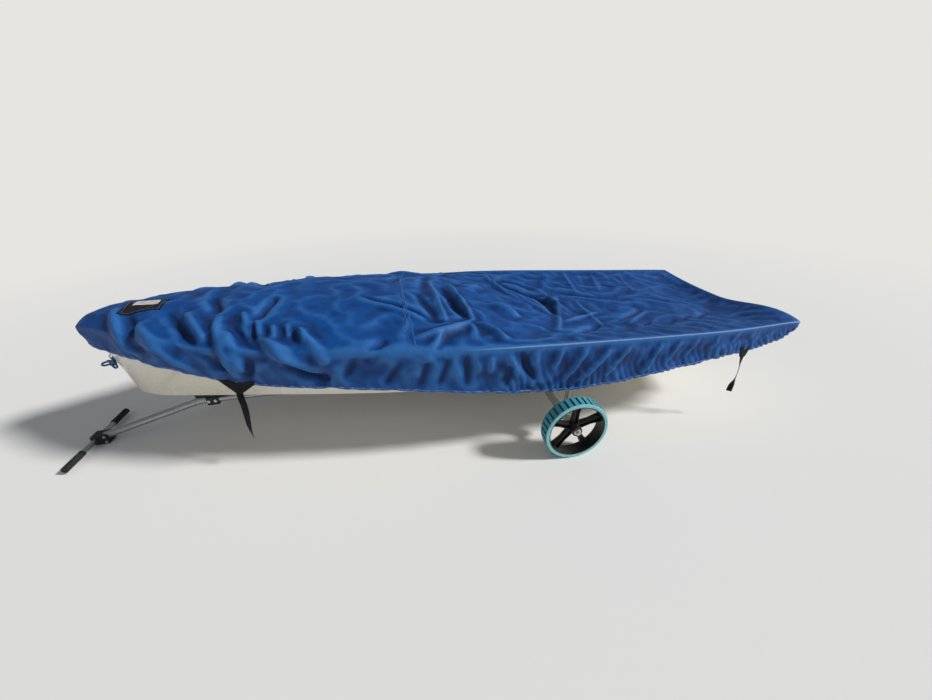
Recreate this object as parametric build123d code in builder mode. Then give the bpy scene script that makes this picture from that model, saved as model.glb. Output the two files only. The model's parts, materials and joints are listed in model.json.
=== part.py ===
from build123d import *
from collections import namedtuple
from math import atan2, cos, degrees, pi, radians, sin, tan
import os

# A single-handed sailing dinghy under its boat cover, parked on its launching trolley.
# Millimetres. +X is towards the bow, +Y to port, +Z up. The floor is Z = 0, and the origin is on
# it, below the middle of the whole length. Stations are measured from the wheel axle.

# Hull and cover, one row for each cross-section from the transom to the bow
Station = namedtuple("Station", "x sheer_half sheer_z chine_half chine_z keel_z camber ridge skirt lean")
STATIONS = (
    Station(-1455, 565, 588, 475, 437, 355, -75, -26, 60, 5),
    Station(-1100, 603, 608, 525, 425, 338, -105, -52, 155, 14),
    Station(-550, 640, 640, 560, 415, 312, -120, -62, 232, 20),
    Station(0, 660, 675, 575, 412, 298, -105, -50, 288, 20),
    Station(550, 648, 700, 555, 412, 290, -40, 70, 260, 22),
    Station(1100, 582, 722, 482, 416, 286, 30, 140, 220, 26),
    Station(1650, 465, 742, 352, 408, 284, 35, 138, 202, 30),
    Station(2050, 312, 757, 214, 374, 288, 22, 123, 168, 30),
    Station(2300, 168, 767, 112, 352, 298, 10, 105, 142, 18),
)

# Stem, the nearly plumb front edge of the hull
stem_foot_x = 2430
stem_foot_z = 312
stem_head_x = 2518
stem_head_z = 777
stem_head_half = 16
stem_chine_half = 12
stem_chine_z = 356
stem_camber = 3

# Gunwale flange round the deck edge
flange_width = 25
flange_thick = 22
bow_flange = 18
bottom_round = 0.36
side_round = 4
knuckle_share = 0.23
knuckle_flare = 0.028

# Cover
cloth_thick = 5
cover_ease = 8
crown_share = 0.76
bow_ridge = 20
bow_skirt = 130
bow_lean = 5

# Daggerboard slot, self-bailer, drain bung and rudder gudgeons
slot_x = 620
slot_length = 330
slot_width = 24
slot_depth = 240
bailer_x = -430
bailer_y = 120
bailer_length = 110
bailer_width = 52
bailer_sunk = 14
bailer_proud = 9
bung_y = 190
bung_drop = 60
bung_radius = 17
bung_thick = 8
gudgeon_heights = {"lower": 405, "upper": 500}
gudgeon_pin_radius = 4
gudgeon_reach = 30
gudgeon_thick = 10
gudgeon_plate_width = 46
gudgeon_plate_height = 34
gudgeon_plate_thick = 3

# Bow eye and the rope knotted through it
eye_z = 566
eye_plate_width = 18
eye_plate_length = 62
eye_plate_thick = 3
eye_radius = 15
eye_wire_radius = 4
knot_radius = 25
knot_drop = 32

# Webbing tabs at the cover's hem, and the strap ends that hang from the two to port
Tab = namedtuple("Tab", "name x side width drop")
TABS = (
    Tab("fore_port", 1700, 1, 190, 66),
    Tab("fore_starboard", 1700, -1, 190, 66),
    Tab("aft_port", -1095, 1, 62, 40),
    Tab("aft_starboard", -1095, -1, 62, 40),
)
webbing_width = 30
webbing_thick = 3
tab_lap = 30
strap_length = {"fore": 280, "aft": 250}
buckle_thick = 12
buckle_width = 38
buckle_length = 52

# Trolley wheels
track_half = 735
wheel_radius = 181
tyre_width = 78
tyre_depth = 20
lug_count = 34
lug_depth = 6
lug_share = 0.62
shoulder_width = 8
shoulder_drop = 2
shoulder_bevel = 3
rim_width = 74
rim_wall = 6
hub_radius = 29
hub_width = 72
spoke_count = 5
spoke_turn = 22
spoke_root = 38
spoke_waist = 27
spoke_foot = 46
spoke_width = 32
spoke_inset = 6
spoke_wall = 5
spoke_pocket = 14
stub_radius = 10
running_gap = 0.05
collar_radius = 22
hub_play = 1
washer_radius = 19
washer_thick = 3
pin_radius = 2.5
pin_length = 40

# Trolley frame
axle_radius = 25
axle_end_gap = 12
clamp_wall = 9
drawbar_radius = 22
drawbar_rise = 30
bend_x = 2150
bend_radius = 260
handle_x = 2790
handle_z = 34
handle_half = 270
handle_radius = 14
grip_radius = 18
grip_length = 130
socket_length = 90
socket_width = 64
socket_height = 62
upright_radius = 13
upright_splay = 76
pad_length = 90
pad_height = 38
pad_width = 44
pad_inset = 4
pad_edge = 2
bow_post_x = 2080
bow_post_radius = 19
chock_length = 110
chock_width = 150
chock_height = 52
chock_sunk = 30

# Derived places
rake = degrees(atan2(stem_head_x - stem_foot_x, stem_head_z - stem_foot_z))
transom = STATIONS[0]
flange_middle = flange_thick / 2
front_reach = handle_x + handle_radius + clamp_wall
gudgeon_tip = gudgeon_plate_thick + gudgeon_reach + 2 * gudgeon_pin_radius
axle_x = (gudgeon_tip - transom.x - front_reach) / 2


def cross_plane(x):
    """Upright plane across the boat at a station, its own Y pointing up."""
    return Plane(origin=(axle_x + x, 0, 0), x_dir=(0, 1, 0), z_dir=(1, 0, 0))


def stem_plane(ahead):
    """Plane along the raked stem, moved ahead of it."""
    slope = radians(rake)
    foot = (axle_x + stem_foot_x + ahead, 0, stem_foot_z)
    return Plane(origin=foot, x_dir=(0, 1, 0), z_dir=(cos(slope), 0, -sin(slope)))


def up_stem(z):
    """Distance up the stem plane at which the height z is reached."""
    return (z - stem_foot_z) / cos(radians(rake))


def stem_x(z):
    return axle_x + stem_foot_x + (z - stem_foot_z) * tan(radians(rake))


def arch(half, edge_z, middle_z):
    """Arc from the boat's side to its middle, with the crown's share of the rise halfway."""
    halfway = (half / 2, edge_z + crown_share * (middle_z - edge_z))
    ThreePointArc((half, edge_z), halfway, (0, middle_z))


def hull_section(plane, sheer_half, sheer_z, chine_half, chine_z, keel_z, camber):
    """Bottom panel, topside with its knuckle, and cambered deck of the hull on one plane."""
    bottom_middle = (chine_half / 2, keel_z + bottom_round * (chine_z - keel_z))
    knuckle_half = chine_half + knuckle_share * (sheer_half - chine_half) + knuckle_flare * chine_half
    knuckle_z = chine_z + knuckle_share * (sheer_z - chine_z)
    side_middle = ((sheer_half + knuckle_half) / 2 + side_round, (sheer_z + knuckle_z) / 2)
    with BuildSketch(plane) as section:
        with BuildLine():
            ThreePointArc((0, keel_z), bottom_middle, (chine_half, chine_z))
            Line((chine_half, chine_z), (knuckle_half, knuckle_z))
            ThreePointArc((knuckle_half, knuckle_z), side_middle, (sheer_half, sheer_z))
            arch(sheer_half, sheer_z, sheer_z + camber)
            mirror(about=Plane.YZ)
        make_face()
    return section.sketch


def deck_section(plane, edge_half, edge_z, camber):
    """Deck slab on one plane, its outer edge the gunwale flange."""
    with BuildSketch(plane) as section:
        with BuildLine():
            arch(edge_half, edge_z, edge_z + camber)
            Line((edge_half, edge_z), (edge_half, edge_z - flange_thick))
            arch(edge_half, edge_z - flange_thick, edge_z - flange_thick + camber)
            mirror(about=Plane.YZ)
        make_face()
    return section.sketch


def cover_section(plane, crease_half, crease_z, ridge_z, skirt, lean, inset):
    """Cover on one plane: skirt from the hem up to the gunwale crease, and the cloth across."""
    below = inset * cloth_thick
    hem_half = crease_half - lean - inset - lean * below / skirt
    hem_z = crease_z - skirt - below
    with BuildSketch(plane) as section:
        with BuildLine():
            Line((0, hem_z), (hem_half, hem_z))
            Line((hem_half, hem_z), (crease_half - inset, crease_z - inset))
            arch(crease_half - inset, crease_z - inset, ridge_z - inset)
            mirror(about=Plane.YZ)
        make_face()
    return section.sketch


def cover_sections(inset):
    """Sections of the cover's outside, or of its inside where inset is its thickness."""
    rise = cover_ease + cloth_thick
    sections = []
    for row in STATIONS:
        x = row.x - rise + inset if row is transom else row.x
        sections.append(cover_section(
            cross_plane(x), row.sheer_half + flange_width + rise, row.sheer_z + rise,
            row.sheer_z + row.ridge, row.skirt, row.lean, inset))
    head = up_stem(stem_head_z)
    sections.append(cover_section(
        stem_plane(bow_flange + rise - inset), stem_head_half + flange_width + rise, head + rise,
        head + bow_ridge, bow_skirt, bow_lean, inset))
    return sections


# Self-bailer, a stainless wedge let into the bottom
with BuildPart() as self_bailer:
    row = STATIONS[2]
    bottom_z = row.keel_z + bottom_round * (row.chine_z - row.keel_z) * bailer_y / (row.chine_half / 2)
    with BuildSketch(Plane.XY.offset(bottom_z - bailer_proud)):
        with Locations((axle_x + bailer_x, bailer_y)):
            RectangleRounded(bailer_length, bailer_width, bailer_width / 4)
    extrude(amount=bailer_proud + bailer_sunk)
    rear_edge = self_bailer.faces().sort_by(Axis.Z)[0].edges().sort_by(Axis.X)[-1]
    chamfer(rear_edge, length=bailer_proud / 2)

# Hull: bottom and topsides, with the deck slab and its flange moulded on
with BuildPart() as hull:
    bottom_sections = [
        hull_section(cross_plane(row.x), row.sheer_half, row.sheer_z - flange_middle, row.chine_half,
                     row.chine_z, row.keel_z, row.camber)
        for row in STATIONS
    ]
    bottom_sections.append(hull_section(
        stem_plane(0), stem_head_half, up_stem(stem_head_z - flange_middle), stem_chine_half,
        up_stem(stem_chine_z), 0, stem_camber))
    loft(bottom_sections)
    deck_sections = [
        deck_section(cross_plane(row.x), row.sheer_half + flange_width, row.sheer_z, row.camber)
        for row in STATIONS
    ]
    deck_sections.append(deck_section(
        stem_plane(bow_flange), stem_head_half + flange_width / 2, up_stem(stem_head_z), stem_camber))
    loft(deck_sections)
    with BuildSketch(Plane.XY):
        with Locations((axle_x + slot_x, 0)):
            SlotOverall(slot_length, slot_width)
    extrude(amount=STATIONS[4].keel_z + slot_depth, mode=Mode.SUBTRACT)
    add(self_bailer.part, mode=Mode.SUBTRACT)

# Cover: a shell over deck and gunwales, its skirt open below
with BuildPart() as cover:
    loft(cover_sections(0))
    loft(cover_sections(cloth_thick), mode=Mode.SUBTRACT)

# Drain bung low in the transom, and the two gudgeons that carry the rudder's pins
transom_plane = Plane(origin=(axle_x + transom.x, 0, 0), x_dir=(0, -1, 0), z_dir=(-1, 0, 0))
with BuildPart() as drain_bung:
    with BuildSketch(transom_plane):
        with Locations((bung_y, transom.sheer_z - bung_drop - transom.skirt - flange_thick)):
            Circle(bung_radius)
    extrude(amount=bung_thick)
    with BuildSketch(transom_plane.offset(bung_thick)):
        with Locations((bung_y, transom.sheer_z - bung_drop - transom.skirt - flange_thick)):
            Rectangle(bung_radius * 1.4, bung_radius / 3)
    extrude(amount=bung_thick / 2)


def gudgeon(height):
    """Plate on the transom with an eye standing aft for the rudder's pin."""
    eye_x = axle_x + transom.x - gudgeon_plate_thick - gudgeon_reach
    with BuildPart() as fitting:
        with BuildSketch(transom_plane):
            with Locations((0, height)):
                RectangleRounded(gudgeon_plate_width, gudgeon_plate_height, gudgeon_plate_height / 6)
        extrude(amount=gudgeon_plate_thick)
        with BuildSketch(Plane.XY.offset(height - gudgeon_thick / 2)):
            with BuildLine():
                root_x = axle_x + transom.x - gudgeon_plate_thick
                root_half = gudgeon_plate_width / 2 - gudgeon_pin_radius
                Polyline((eye_x, 0), (root_x, root_half), (root_x, -root_half), close=True)
            make_face()
            with Locations((eye_x, 0)):
                Circle(2 * gudgeon_pin_radius)
        extrude(amount=gudgeon_thick)
        with Locations((eye_x, 0, height)):
            Cylinder(gudgeon_pin_radius, 2 * gudgeon_thick, mode=Mode.SUBTRACT)
    return fitting


gudgeons = {f"gudgeon_{place}": gudgeon(height) for place, height in gudgeon_heights.items()}

# Bow eye on the stem, and the painter knotted through it
with BuildPart() as bow_eye:
    with BuildSketch(stem_plane(0)):
        with Locations((0, up_stem(eye_z))):
            SlotOverall(eye_plate_length, eye_plate_width, rotation=90)
    extrude(amount=eye_plate_thick)
    with BuildLine() as eye_line:
        eye_root = stem_x(eye_z)
        Line((eye_root, 0, eye_z + eye_radius), (eye_root + eye_radius, 0, eye_z + eye_radius))
        ThreePointArc(
            (eye_root + eye_radius, 0, eye_z + eye_radius), (eye_root + 2 * eye_radius, 0, eye_z),
            (eye_root + eye_radius, 0, eye_z - eye_radius))
        Line((eye_root + eye_radius, 0, eye_z - eye_radius), (eye_root, 0, eye_z - eye_radius))
    with BuildSketch(Plane(origin=eye_line.line @ 0, z_dir=eye_line.line % 0)):
        Circle(eye_wire_radius)
    sweep()
    add(hull.part, mode=Mode.SUBTRACT)

knot_x = stem_x(eye_z) + 2 * eye_radius
with BuildPart() as painter_knot:
    with BuildSketch(Plane.XZ):
        with Locations((knot_x, eye_z - knot_drop)):
            RegularPolygon(knot_radius, 8, major_radius=False)
        with Locations((knot_x, eye_z)):
            RegularPolygon(knot_radius * 2 / 3, 8, major_radius=False)
    extrude(amount=knot_radius, both=True)
    chamfer(painter_knot.faces().group_by(Axis.Y)[0].edges(), length=knot_radius / 4)
    chamfer(painter_knot.faces().group_by(Axis.Y)[-1].edges(), length=knot_radius / 4)
    with Locations((knot_x - eye_radius, 0, eye_z)):
        Box(2 * (eye_radius + eye_wire_radius), 2 * eye_wire_radius, 2 * (eye_radius + eye_wire_radius),
            mode=Mode.SUBTRACT)


def hem_corner(x, side):
    """Lowest outer point of the cover's hem at a station, on one side."""
    slice_plane = cross_plane(x)
    corners = section(cover.part, section_by=slice_plane, mode=Mode.PRIVATE).vertices()
    return (corners.filter_by(lambda corner: corner.Y * side > 0).sort_by(Axis.Z)[:2]
            .sort_by(lambda corner: abs(corner.Y))[-1])


def hem_plane(tab):
    """Plane in the middle of the skirt's cloth at a tab, its own X along the hem."""
    behind = hem_corner(tab.x - tab.width / 2, tab.side)
    ahead = hem_corner(tab.x + tab.width / 2, tab.side)
    middle = (Vector(behind) + Vector(ahead)) / 2
    along = (Vector(ahead) - Vector(behind)).normalized()
    outward = along.cross(Vector(0, 0, -tab.side)).normalized()
    return Plane(origin=middle - outward * cloth_thick / 2, x_dir=along * -tab.side, z_dir=outward)


pieces = {"self_bailer": self_bailer, "hull": hull, "cover": cover, "drain_bung": drain_bung,
          "bow_eye": bow_eye, "painter_knot": painter_knot}
pieces.update(gudgeons)

# Webbing tabs lapped over the hem, the strap ends below two of them and the buckles on the others
for tab in TABS:
    plane = hem_plane(tab)
    with BuildPart() as tab_piece:
        with BuildSketch(plane.offset(-cloth_thick / 2 - webbing_thick)):
            with BuildLine():
                Polyline(
                    (-tab.width / 2, tab_lap), (tab.width / 2, tab_lap), (tab.width / 2, 0),
                    (webbing_width / 2, -tab.drop), (-webbing_width / 2, -tab.drop), (-tab.width / 2, 0),
                    close=True)
            make_face()
        extrude(amount=cloth_thick + 2 * webbing_thick)
        add(cover.part, mode=Mode.SUBTRACT)
    pieces[f"tab_{tab.name}"] = tab_piece
    foot = plane.from_local_coords(Vector(0, -tab.drop, 0))
    where = tab.name.split("_")[0]
    if tab.side > 0:
        with BuildPart() as strap:
            with Locations((foot.X, foot.Y, foot.Z)):
                Box(webbing_width, webbing_thick, strap_length[where],
                    align=(Align.CENTER, Align.CENTER, Align.MAX))
            add(tab_piece.part, mode=Mode.SUBTRACT)
        pieces[f"strap_{where}"] = strap
    else:
        with BuildPart() as buckle:
            with Locations((foot.X, foot.Y, foot.Z)):
                Box(buckle_width, buckle_thick, buckle_length,
                    align=(Align.CENTER, Align.CENTER, Align.MAX))
            fillet(buckle.edges().filter_by(Axis.Y), radius=buckle_thick / 3)
            add(tab_piece.part, mode=Mode.SUBTRACT)
        pieces[f"buckle_{where}"] = buckle

# Trolley wheels, one for each side
hub_inner = track_half - hub_width / 2
hub_outer = track_half + hub_width / 2
rim_radius = wheel_radius - tyre_depth


def wheel_plane(y):
    """Plane facing outboard at the height of the axle, for either side."""
    return Plane(origin=(axle_x, y, wheel_radius), x_dir=(1, 0, 0), z_dir=(0, 1 if y > 0 else -1, 0))


def spoke(narrower):
    """Outline of a spoke from the hub to the rim, waisted between, with its edges moved inwards."""
    inner = hub_radius / 2 + narrower
    outer = rim_radius - rim_wall / 2 - narrower
    waist = (hub_radius + outer) / 2
    with BuildSketch() as outline:
        with BuildLine():
            Polyline(
                (inner, spoke_root / 2 - narrower), (waist, spoke_waist / 2 - narrower),
                (outer, spoke_foot / 2 - narrower), (outer, narrower - spoke_foot / 2),
                (waist, narrower - spoke_waist / 2), (inner, narrower - spoke_root / 2), close=True)
        make_face()
    return outline.sketch


def wheel(side):
    """Lugged tyre, and the deep rim moulded with its channelled spokes and hub."""
    middle = wheel_plane(side * track_half)
    spoke_back = middle.offset(spoke_inset - rim_width / 2)
    with BuildPart() as rim:
        with BuildSketch(middle.offset(-rim_width / 2)):
            Circle(rim_radius)
            Circle(rim_radius - rim_wall, mode=Mode.SUBTRACT)
        extrude(amount=rim_width)
        with BuildSketch(spoke_back):
            with PolarLocations(0, spoke_count, start_angle=-spoke_turn * side):
                add(spoke(0))
        extrude(amount=spoke_width)
        with BuildSketch(spoke_back.offset(spoke_width)):
            with PolarLocations(0, spoke_count, start_angle=-spoke_turn * side):
                add(spoke(spoke_wall))
        extrude(amount=-spoke_pocket, mode=Mode.SUBTRACT)
        with BuildSketch(middle.offset(-hub_width / 2)):
            Circle(hub_radius)
        extrude(amount=hub_width)
        with BuildSketch(middle.offset(-hub_width / 2)):
            Circle(stub_radius + running_gap)
        extrude(amount=hub_width, mode=Mode.SUBTRACT)
    lug_width = lug_share * 2 * pi * wheel_radius / lug_count
    with BuildPart() as tyre:
        for edge_back in (-tyre_width / 2, tyre_width / 2 - shoulder_width):
            with BuildSketch(middle.offset(edge_back)):
                Circle(wheel_radius - shoulder_drop)
                Circle(rim_radius, mode=Mode.SUBTRACT)
            extrude(amount=shoulder_width)
        shoulders = tyre.edges().filter_by(GeomType.CIRCLE).group_by(SortBy.RADIUS)[-1]
        chamfer(shoulders.sort_by(lambda edge: edge.center().Y * side)[-1], length=shoulder_bevel)
        with BuildSketch(middle.offset(shoulder_width - tyre_width / 2)):
            Circle(wheel_radius - lug_depth)
            Circle(rim_radius, mode=Mode.SUBTRACT)
            with PolarLocations(wheel_radius - lug_depth, lug_count):
                Rectangle(2 * lug_depth, lug_width)
        extrude(amount=tyre_width - 2 * shoulder_width)
    return rim, tyre


def stub(side):
    """Steel stub axle let into the axle tube, with a collar, and a washer and pin outside the hub."""
    collar_face = wheel_plane(side * (hub_inner - axle_end_gap))
    with BuildPart() as axle_stub:
        with BuildSketch(collar_face):
            Circle(collar_radius)
        extrude(amount=axle_end_gap - hub_play)
        with BuildSketch(collar_face.offset(-2 * collar_radius)):
            Circle(stub_radius)
        extrude(amount=2 * collar_radius + axle_end_gap + hub_width + washer_radius)
    washer_face = wheel_plane(side * (hub_outer + hub_play))
    with BuildPart() as washer:
        with BuildSketch(washer_face):
            Circle(washer_radius)
            Circle(stub_radius, mode=Mode.SUBTRACT)
        extrude(amount=washer_thick)
    pin_y = hub_outer + hub_play + washer_thick + pin_radius
    with BuildPart() as pin:
        with Locations((axle_x, side * pin_y, wheel_radius)):
            Cylinder(pin_radius, pin_length)
    with BuildPart(mode=Mode.PRIVATE) as drilled:
        add(axle_stub.part)
        add(pin.part, mode=Mode.SUBTRACT)
    return drilled, washer, pin


for side_name, side in {"port": 1, "starboard": -1}.items():
    pieces[f"rim_{side_name}"], pieces[f"tyre_{side_name}"] = wheel(side)
    pieces[f"stub_{side_name}"], pieces[f"washer_{side_name}"], pieces[f"pin_{side_name}"] = stub(side)

# Axle tube, and the drawbar cranked down in front of the bow to its handle
axle_half = hub_inner - axle_end_gap
with BuildPart() as axle_tube:
    with Locations((axle_x, 0, wheel_radius)):
        Cylinder(axle_radius, 2 * axle_half, rotation=(90, 0, 0))
    for side_name in ("port", "starboard"):
        add(pieces[f"stub_{side_name}"].part, mode=Mode.SUBTRACT)

with BuildPart() as handle_bar:
    with Locations((axle_x + handle_x, 0, handle_z)):
        Cylinder(handle_radius, 2 * handle_half, rotation=(90, 0, 0))

drawbar_start = axle_x + axle_radius
with BuildPart() as drawbar:
    with BuildLine() as drawbar_line:
        FilletPolyline(
            (drawbar_start, 0, wheel_radius),
            (axle_x + bend_x, 0, wheel_radius + drawbar_rise),
            (axle_x + handle_x - handle_radius, 0, handle_z),
            radius=bend_radius)
    with BuildSketch(Plane(origin=drawbar_line.line @ 0, z_dir=drawbar_line.line % 0)):
        Circle(drawbar_radius)
    sweep()
    add(axle_tube.part, mode=Mode.SUBTRACT)
    add(handle_bar.part, mode=Mode.SUBTRACT)

with BuildPart() as axle_clamp:
    with Locations((axle_x + axle_radius, 0, wheel_radius)):
        Box(2 * (axle_radius + clamp_wall) + 2 * axle_radius, 2 * (drawbar_radius + clamp_wall),
            2 * (axle_radius + clamp_wall))
    fillet(axle_clamp.edges().filter_by(Axis.Y), radius=clamp_wall)
    add(axle_tube.part, mode=Mode.SUBTRACT)
    add(drawbar.part, mode=Mode.SUBTRACT)

with BuildPart() as handle_socket:
    with Locations((axle_x + handle_x + handle_radius + clamp_wall - socket_length / 2, 0, 0)):
        Box(socket_length, socket_width, socket_height, align=(Align.CENTER, Align.CENTER, Align.MIN))
    fillet(handle_socket.edges().filter_by(Axis.Y), radius=clamp_wall)
    add(handle_bar.part, mode=Mode.SUBTRACT)
    add(drawbar.part, mode=Mode.SUBTRACT)

pieces.update({"axle_tube": axle_tube, "drawbar": drawbar, "axle_clamp": axle_clamp,
               "handle_bar": handle_bar, "handle_socket": handle_socket})

grip_middle = handle_half - (grip_length - clamp_wall) / 2
for side_name, side in {"port": 1, "starboard": -1}.items():
    with BuildPart() as grip:
        with Locations((axle_x + handle_x, side * grip_middle, handle_z)):
            Cylinder(grip_radius, grip_length + clamp_wall, rotation=(90, 0, 0))
        add(handle_bar.part, mode=Mode.SUBTRACT)
    pieces[f"grip_{side_name}"] = grip

# Bow post clamped on the drawbar, with the rubber chock that the keel sits in
drawbar_slope = drawbar_rise / (bend_x - axle_radius)
drawbar_top = wheel_radius + drawbar_slope * (bow_post_x - axle_radius) + drawbar_radius
bow_keel_z = STATIONS[7].keel_z
chock_base = bow_keel_z + chock_sunk - chock_height
with BuildPart() as post_clamp:
    with Locations((axle_x + bow_post_x, 0, drawbar_top + clamp_wall)):
        Box(2 * (drawbar_radius + clamp_wall), 2 * (drawbar_radius + clamp_wall),
            2 * (drawbar_radius + clamp_wall), align=(Align.CENTER, Align.CENTER, Align.MAX))
    fillet(post_clamp.edges().filter_by(Axis.X), radius=clamp_wall)
    add(drawbar.part, mode=Mode.SUBTRACT)

with BuildPart() as bow_post:
    with BuildSketch(Plane.XY.offset(drawbar_top + clamp_wall)):
        with Locations((axle_x + bow_post_x, 0)):
            Circle(bow_post_radius)
    extrude(amount=chock_base - drawbar_top - clamp_wall)

with BuildPart() as bow_chock:
    with Locations((axle_x + bow_post_x, 0, chock_base)):
        Box(chock_length, chock_width, chock_height, align=(Align.CENTER, Align.CENTER, Align.MIN))
    fillet(bow_chock.edges().filter_by(Axis.X), radius=clamp_wall)
    add(hull.part, mode=Mode.SUBTRACT)

pieces.update({"post_clamp": post_clamp, "bow_post": bow_post, "bow_chock": bow_chock})

# Uprights on the axle, with padded heads that the gunwale flange rests on
amidships = STATIONS[3]
flange_under = amidships.sheer_z - flange_thick
pad_outer = amidships.sheer_half + flange_width - pad_inset
upright_head = pad_outer - pad_edge - upright_radius
upright_foot = upright_head - upright_splay
for side_name, side in {"port": 1, "starboard": -1}.items():
    foot = Vector(axle_x, side * upright_foot, wheel_radius)
    head = Vector(axle_x, side * upright_head, flange_under - pad_height)
    with BuildPart() as upright_clamp:
        with Locations((axle_x, side * upright_foot, wheel_radius)):
            Box(2 * (axle_radius + clamp_wall), 2 * (upright_radius + clamp_wall),
                2 * (axle_radius + clamp_wall))
        fillet(upright_clamp.edges().filter_by(Axis.Y), radius=clamp_wall)
        add(axle_tube.part, mode=Mode.SUBTRACT)
        add(pieces[f"stub_{side_name}"].part, mode=Mode.SUBTRACT)
    with BuildPart() as upright:
        with BuildLine() as upright_line:
            Line(foot, head)
        with BuildSketch(Plane(origin=foot, z_dir=head - foot)):
            Circle(upright_radius)
        sweep()
        add(axle_tube.part, mode=Mode.SUBTRACT)
        add(pieces[f"stub_{side_name}"].part, mode=Mode.SUBTRACT)
        add(upright_clamp.part, mode=Mode.SUBTRACT)
    with BuildPart() as gunwale_pad:
        with Locations((axle_x, side * (pad_outer - pad_width / 2), flange_under - pad_height)):
            Box(pad_length, pad_width, pad_height, align=(Align.CENTER, Align.CENTER, Align.MIN))
        add(hull.part, mode=Mode.SUBTRACT)
        add(upright.part, mode=Mode.SUBTRACT)
    pieces[f"upright_clamp_{side_name}"] = upright_clamp
    pieces[f"upright_{side_name}"] = upright
    pieces[f"gunwale_pad_{side_name}"] = gunwale_pad

os.makedirs("parts", exist_ok=True)
for name, piece in pieces.items():
    piece.part.label = name
    export_step(piece.part, f"parts/{name}.step")
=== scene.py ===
import json
from collections import namedtuple
from math import cos, pi, radians, sin

import bmesh
import bpy
import numpy as np
from bpy.props import FloatProperty, FloatVectorProperty, IntProperty, PointerProperty
from mathutils import Euler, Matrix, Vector, noise
from mathutils.bvhtree import BVHTree
from mathutils.kdtree import KDTree


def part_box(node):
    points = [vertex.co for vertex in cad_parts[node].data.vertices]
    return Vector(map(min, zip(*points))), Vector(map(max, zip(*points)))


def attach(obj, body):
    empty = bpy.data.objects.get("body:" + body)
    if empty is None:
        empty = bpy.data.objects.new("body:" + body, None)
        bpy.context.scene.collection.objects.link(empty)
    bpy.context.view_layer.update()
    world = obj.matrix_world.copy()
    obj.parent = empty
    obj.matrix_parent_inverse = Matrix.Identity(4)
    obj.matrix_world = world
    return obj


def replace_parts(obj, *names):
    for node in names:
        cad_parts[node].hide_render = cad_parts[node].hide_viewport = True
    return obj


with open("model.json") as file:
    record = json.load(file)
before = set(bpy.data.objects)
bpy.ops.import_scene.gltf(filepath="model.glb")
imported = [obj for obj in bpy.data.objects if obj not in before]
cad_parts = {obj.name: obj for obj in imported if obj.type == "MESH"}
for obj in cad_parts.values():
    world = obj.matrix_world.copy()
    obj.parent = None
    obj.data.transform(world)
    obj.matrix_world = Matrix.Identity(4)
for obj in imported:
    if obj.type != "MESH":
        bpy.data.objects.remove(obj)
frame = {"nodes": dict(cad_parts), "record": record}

bl_info = {
    "name": "Covered Sailing Dinghy",
    "version": (1, 0, 0),
    "blender": (4, 5, 0),
    "location": "View3D > Sidebar > Dinghy",
    "description": "Dresses a sailing dinghy on its trolley: cloth cover, ropes, finishes and stage",
    "category": "Object",
}

NODES = frame["nodes"]
AXLE = (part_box("axle_tube")[0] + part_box("axle_tube")[1]) / 2
SENSOR = 36.0
BACKDROP = "e6e5e2"
FLOOR_HALF = 60
HALVINGS = 16
BESIDE = 0.01
OVERHEAD = 2.0
WAVES = 0.314  # A wave texture's scale for bands one metre apart
THREADS = 0.0024  # The real threads are 0.3 mm apart, too fine to show, so they are drawn 2.4 mm apart

# The cover's cloth. Lengths are in metres.
SKIRT_ROWS = 13
SKIRT_DROP = 0.4
PAST_SIDE = 0.1
RAY_BACK = 0.3
RAY_REACH = 0.345
BELOW_CREASE = 0.004
INSET_AFT = 0.0015
INSET_AHEAD = 0.004
INSET_SIDE = 0.0006
FLAT_FULLER = 1.03
FOLD_REACH = 1.8
FOLD_HEIGHT = 2.4
FOLD_POWER = 1.2
CREST_WIDTH = 0.45
CREST_SHARE = 0.32
FOLD_SAMPLES = 6
EDGE_REACH = 0.055
HULL_GAP = 0.005
DEEPEST = 0.06
HIGHEST = 0.05
ROOM_SLOPE = 0.25
ROOM_STEPS = 12
EASE_FROM = -0.35
EASE_OVER = 0.35
EASE_STEPS = 8
EASE_MOST = 0.5
EASE_REACH = 1.6
STERN_HALF = 0.603
STERN_LENGTH = 0.13
STERN_RISE = 0.042
STERN_PEAK = 6.75  # Makes share ** 2 * (1 - share) reach 1 at two thirds
SLACK_AFT = -1.5
SLACK_AHEAD = -0.5
PATCHES_ALONG = 2.2
PATCHES_ACROSS = 3.1
# Shares of the most fullness: the least, the gain towards the hem or the bow, and how patchy it is
SKIRT_FULLNESS = (0.55, 0.45, 0.3)
TOP_FULLNESS = (0.1, 0.5, 0.4)
HELD_LEAST = 0.02
HELD_EDGE = 0.25
FAR_SIDE = 0.15
OTHER_SIDE_SHIFT = 0.14
CRUMPLE_SIZE = 0.16
CRUMPLE_HIGH = 0.01
CRUMPLE_MEAN = 0.5
CRUMPLE_BROAD = 1.7
CRUMPLE_FINE = 0.6
CRUMPLE_FINER = 2.3
RUFFLE_FROM = -0.1
RUFFLE_OVER = 0.3
RUFFLE_SPACING = 0.042
RUFFLE_HIGH = 0.0045
RUFFLE_POWER = 1.5
RUFFLE_ACROSS = 0.6
RUFFLE_LEAN = 0.09
RUFFLE_SWAY = 4
RUFFLE_LEAST = 0.6
RUFFLE_MORE = 0.8
SWAYS_A_METRE = 9
# How far a point stands out for the full painted shade or painted highlight on the cloth, and the smoothing
# steps that measure it
RELIEF = 0.0032
RELIEF_STEPS = 14
# Nearness to the crease from which the taut cloth gets a painted highlight
CREASE_HIGHLIGHT_FROM = 0.82
SEAM_PROUD = 0.0002
SEAM_THICK = 0.0014
STITCH_ASIDE = 0.3
STITCH_PROUD = 0.001

# A strap's section as shares of its width and thickness
RIBBON = ((-0.5, 0), (-0.46, 0.5), (0, 0.5), (0.46, 0.5), (0.5, 0), (0.46, -0.5), (0, -0.5), (-0.46, -0.5))


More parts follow.
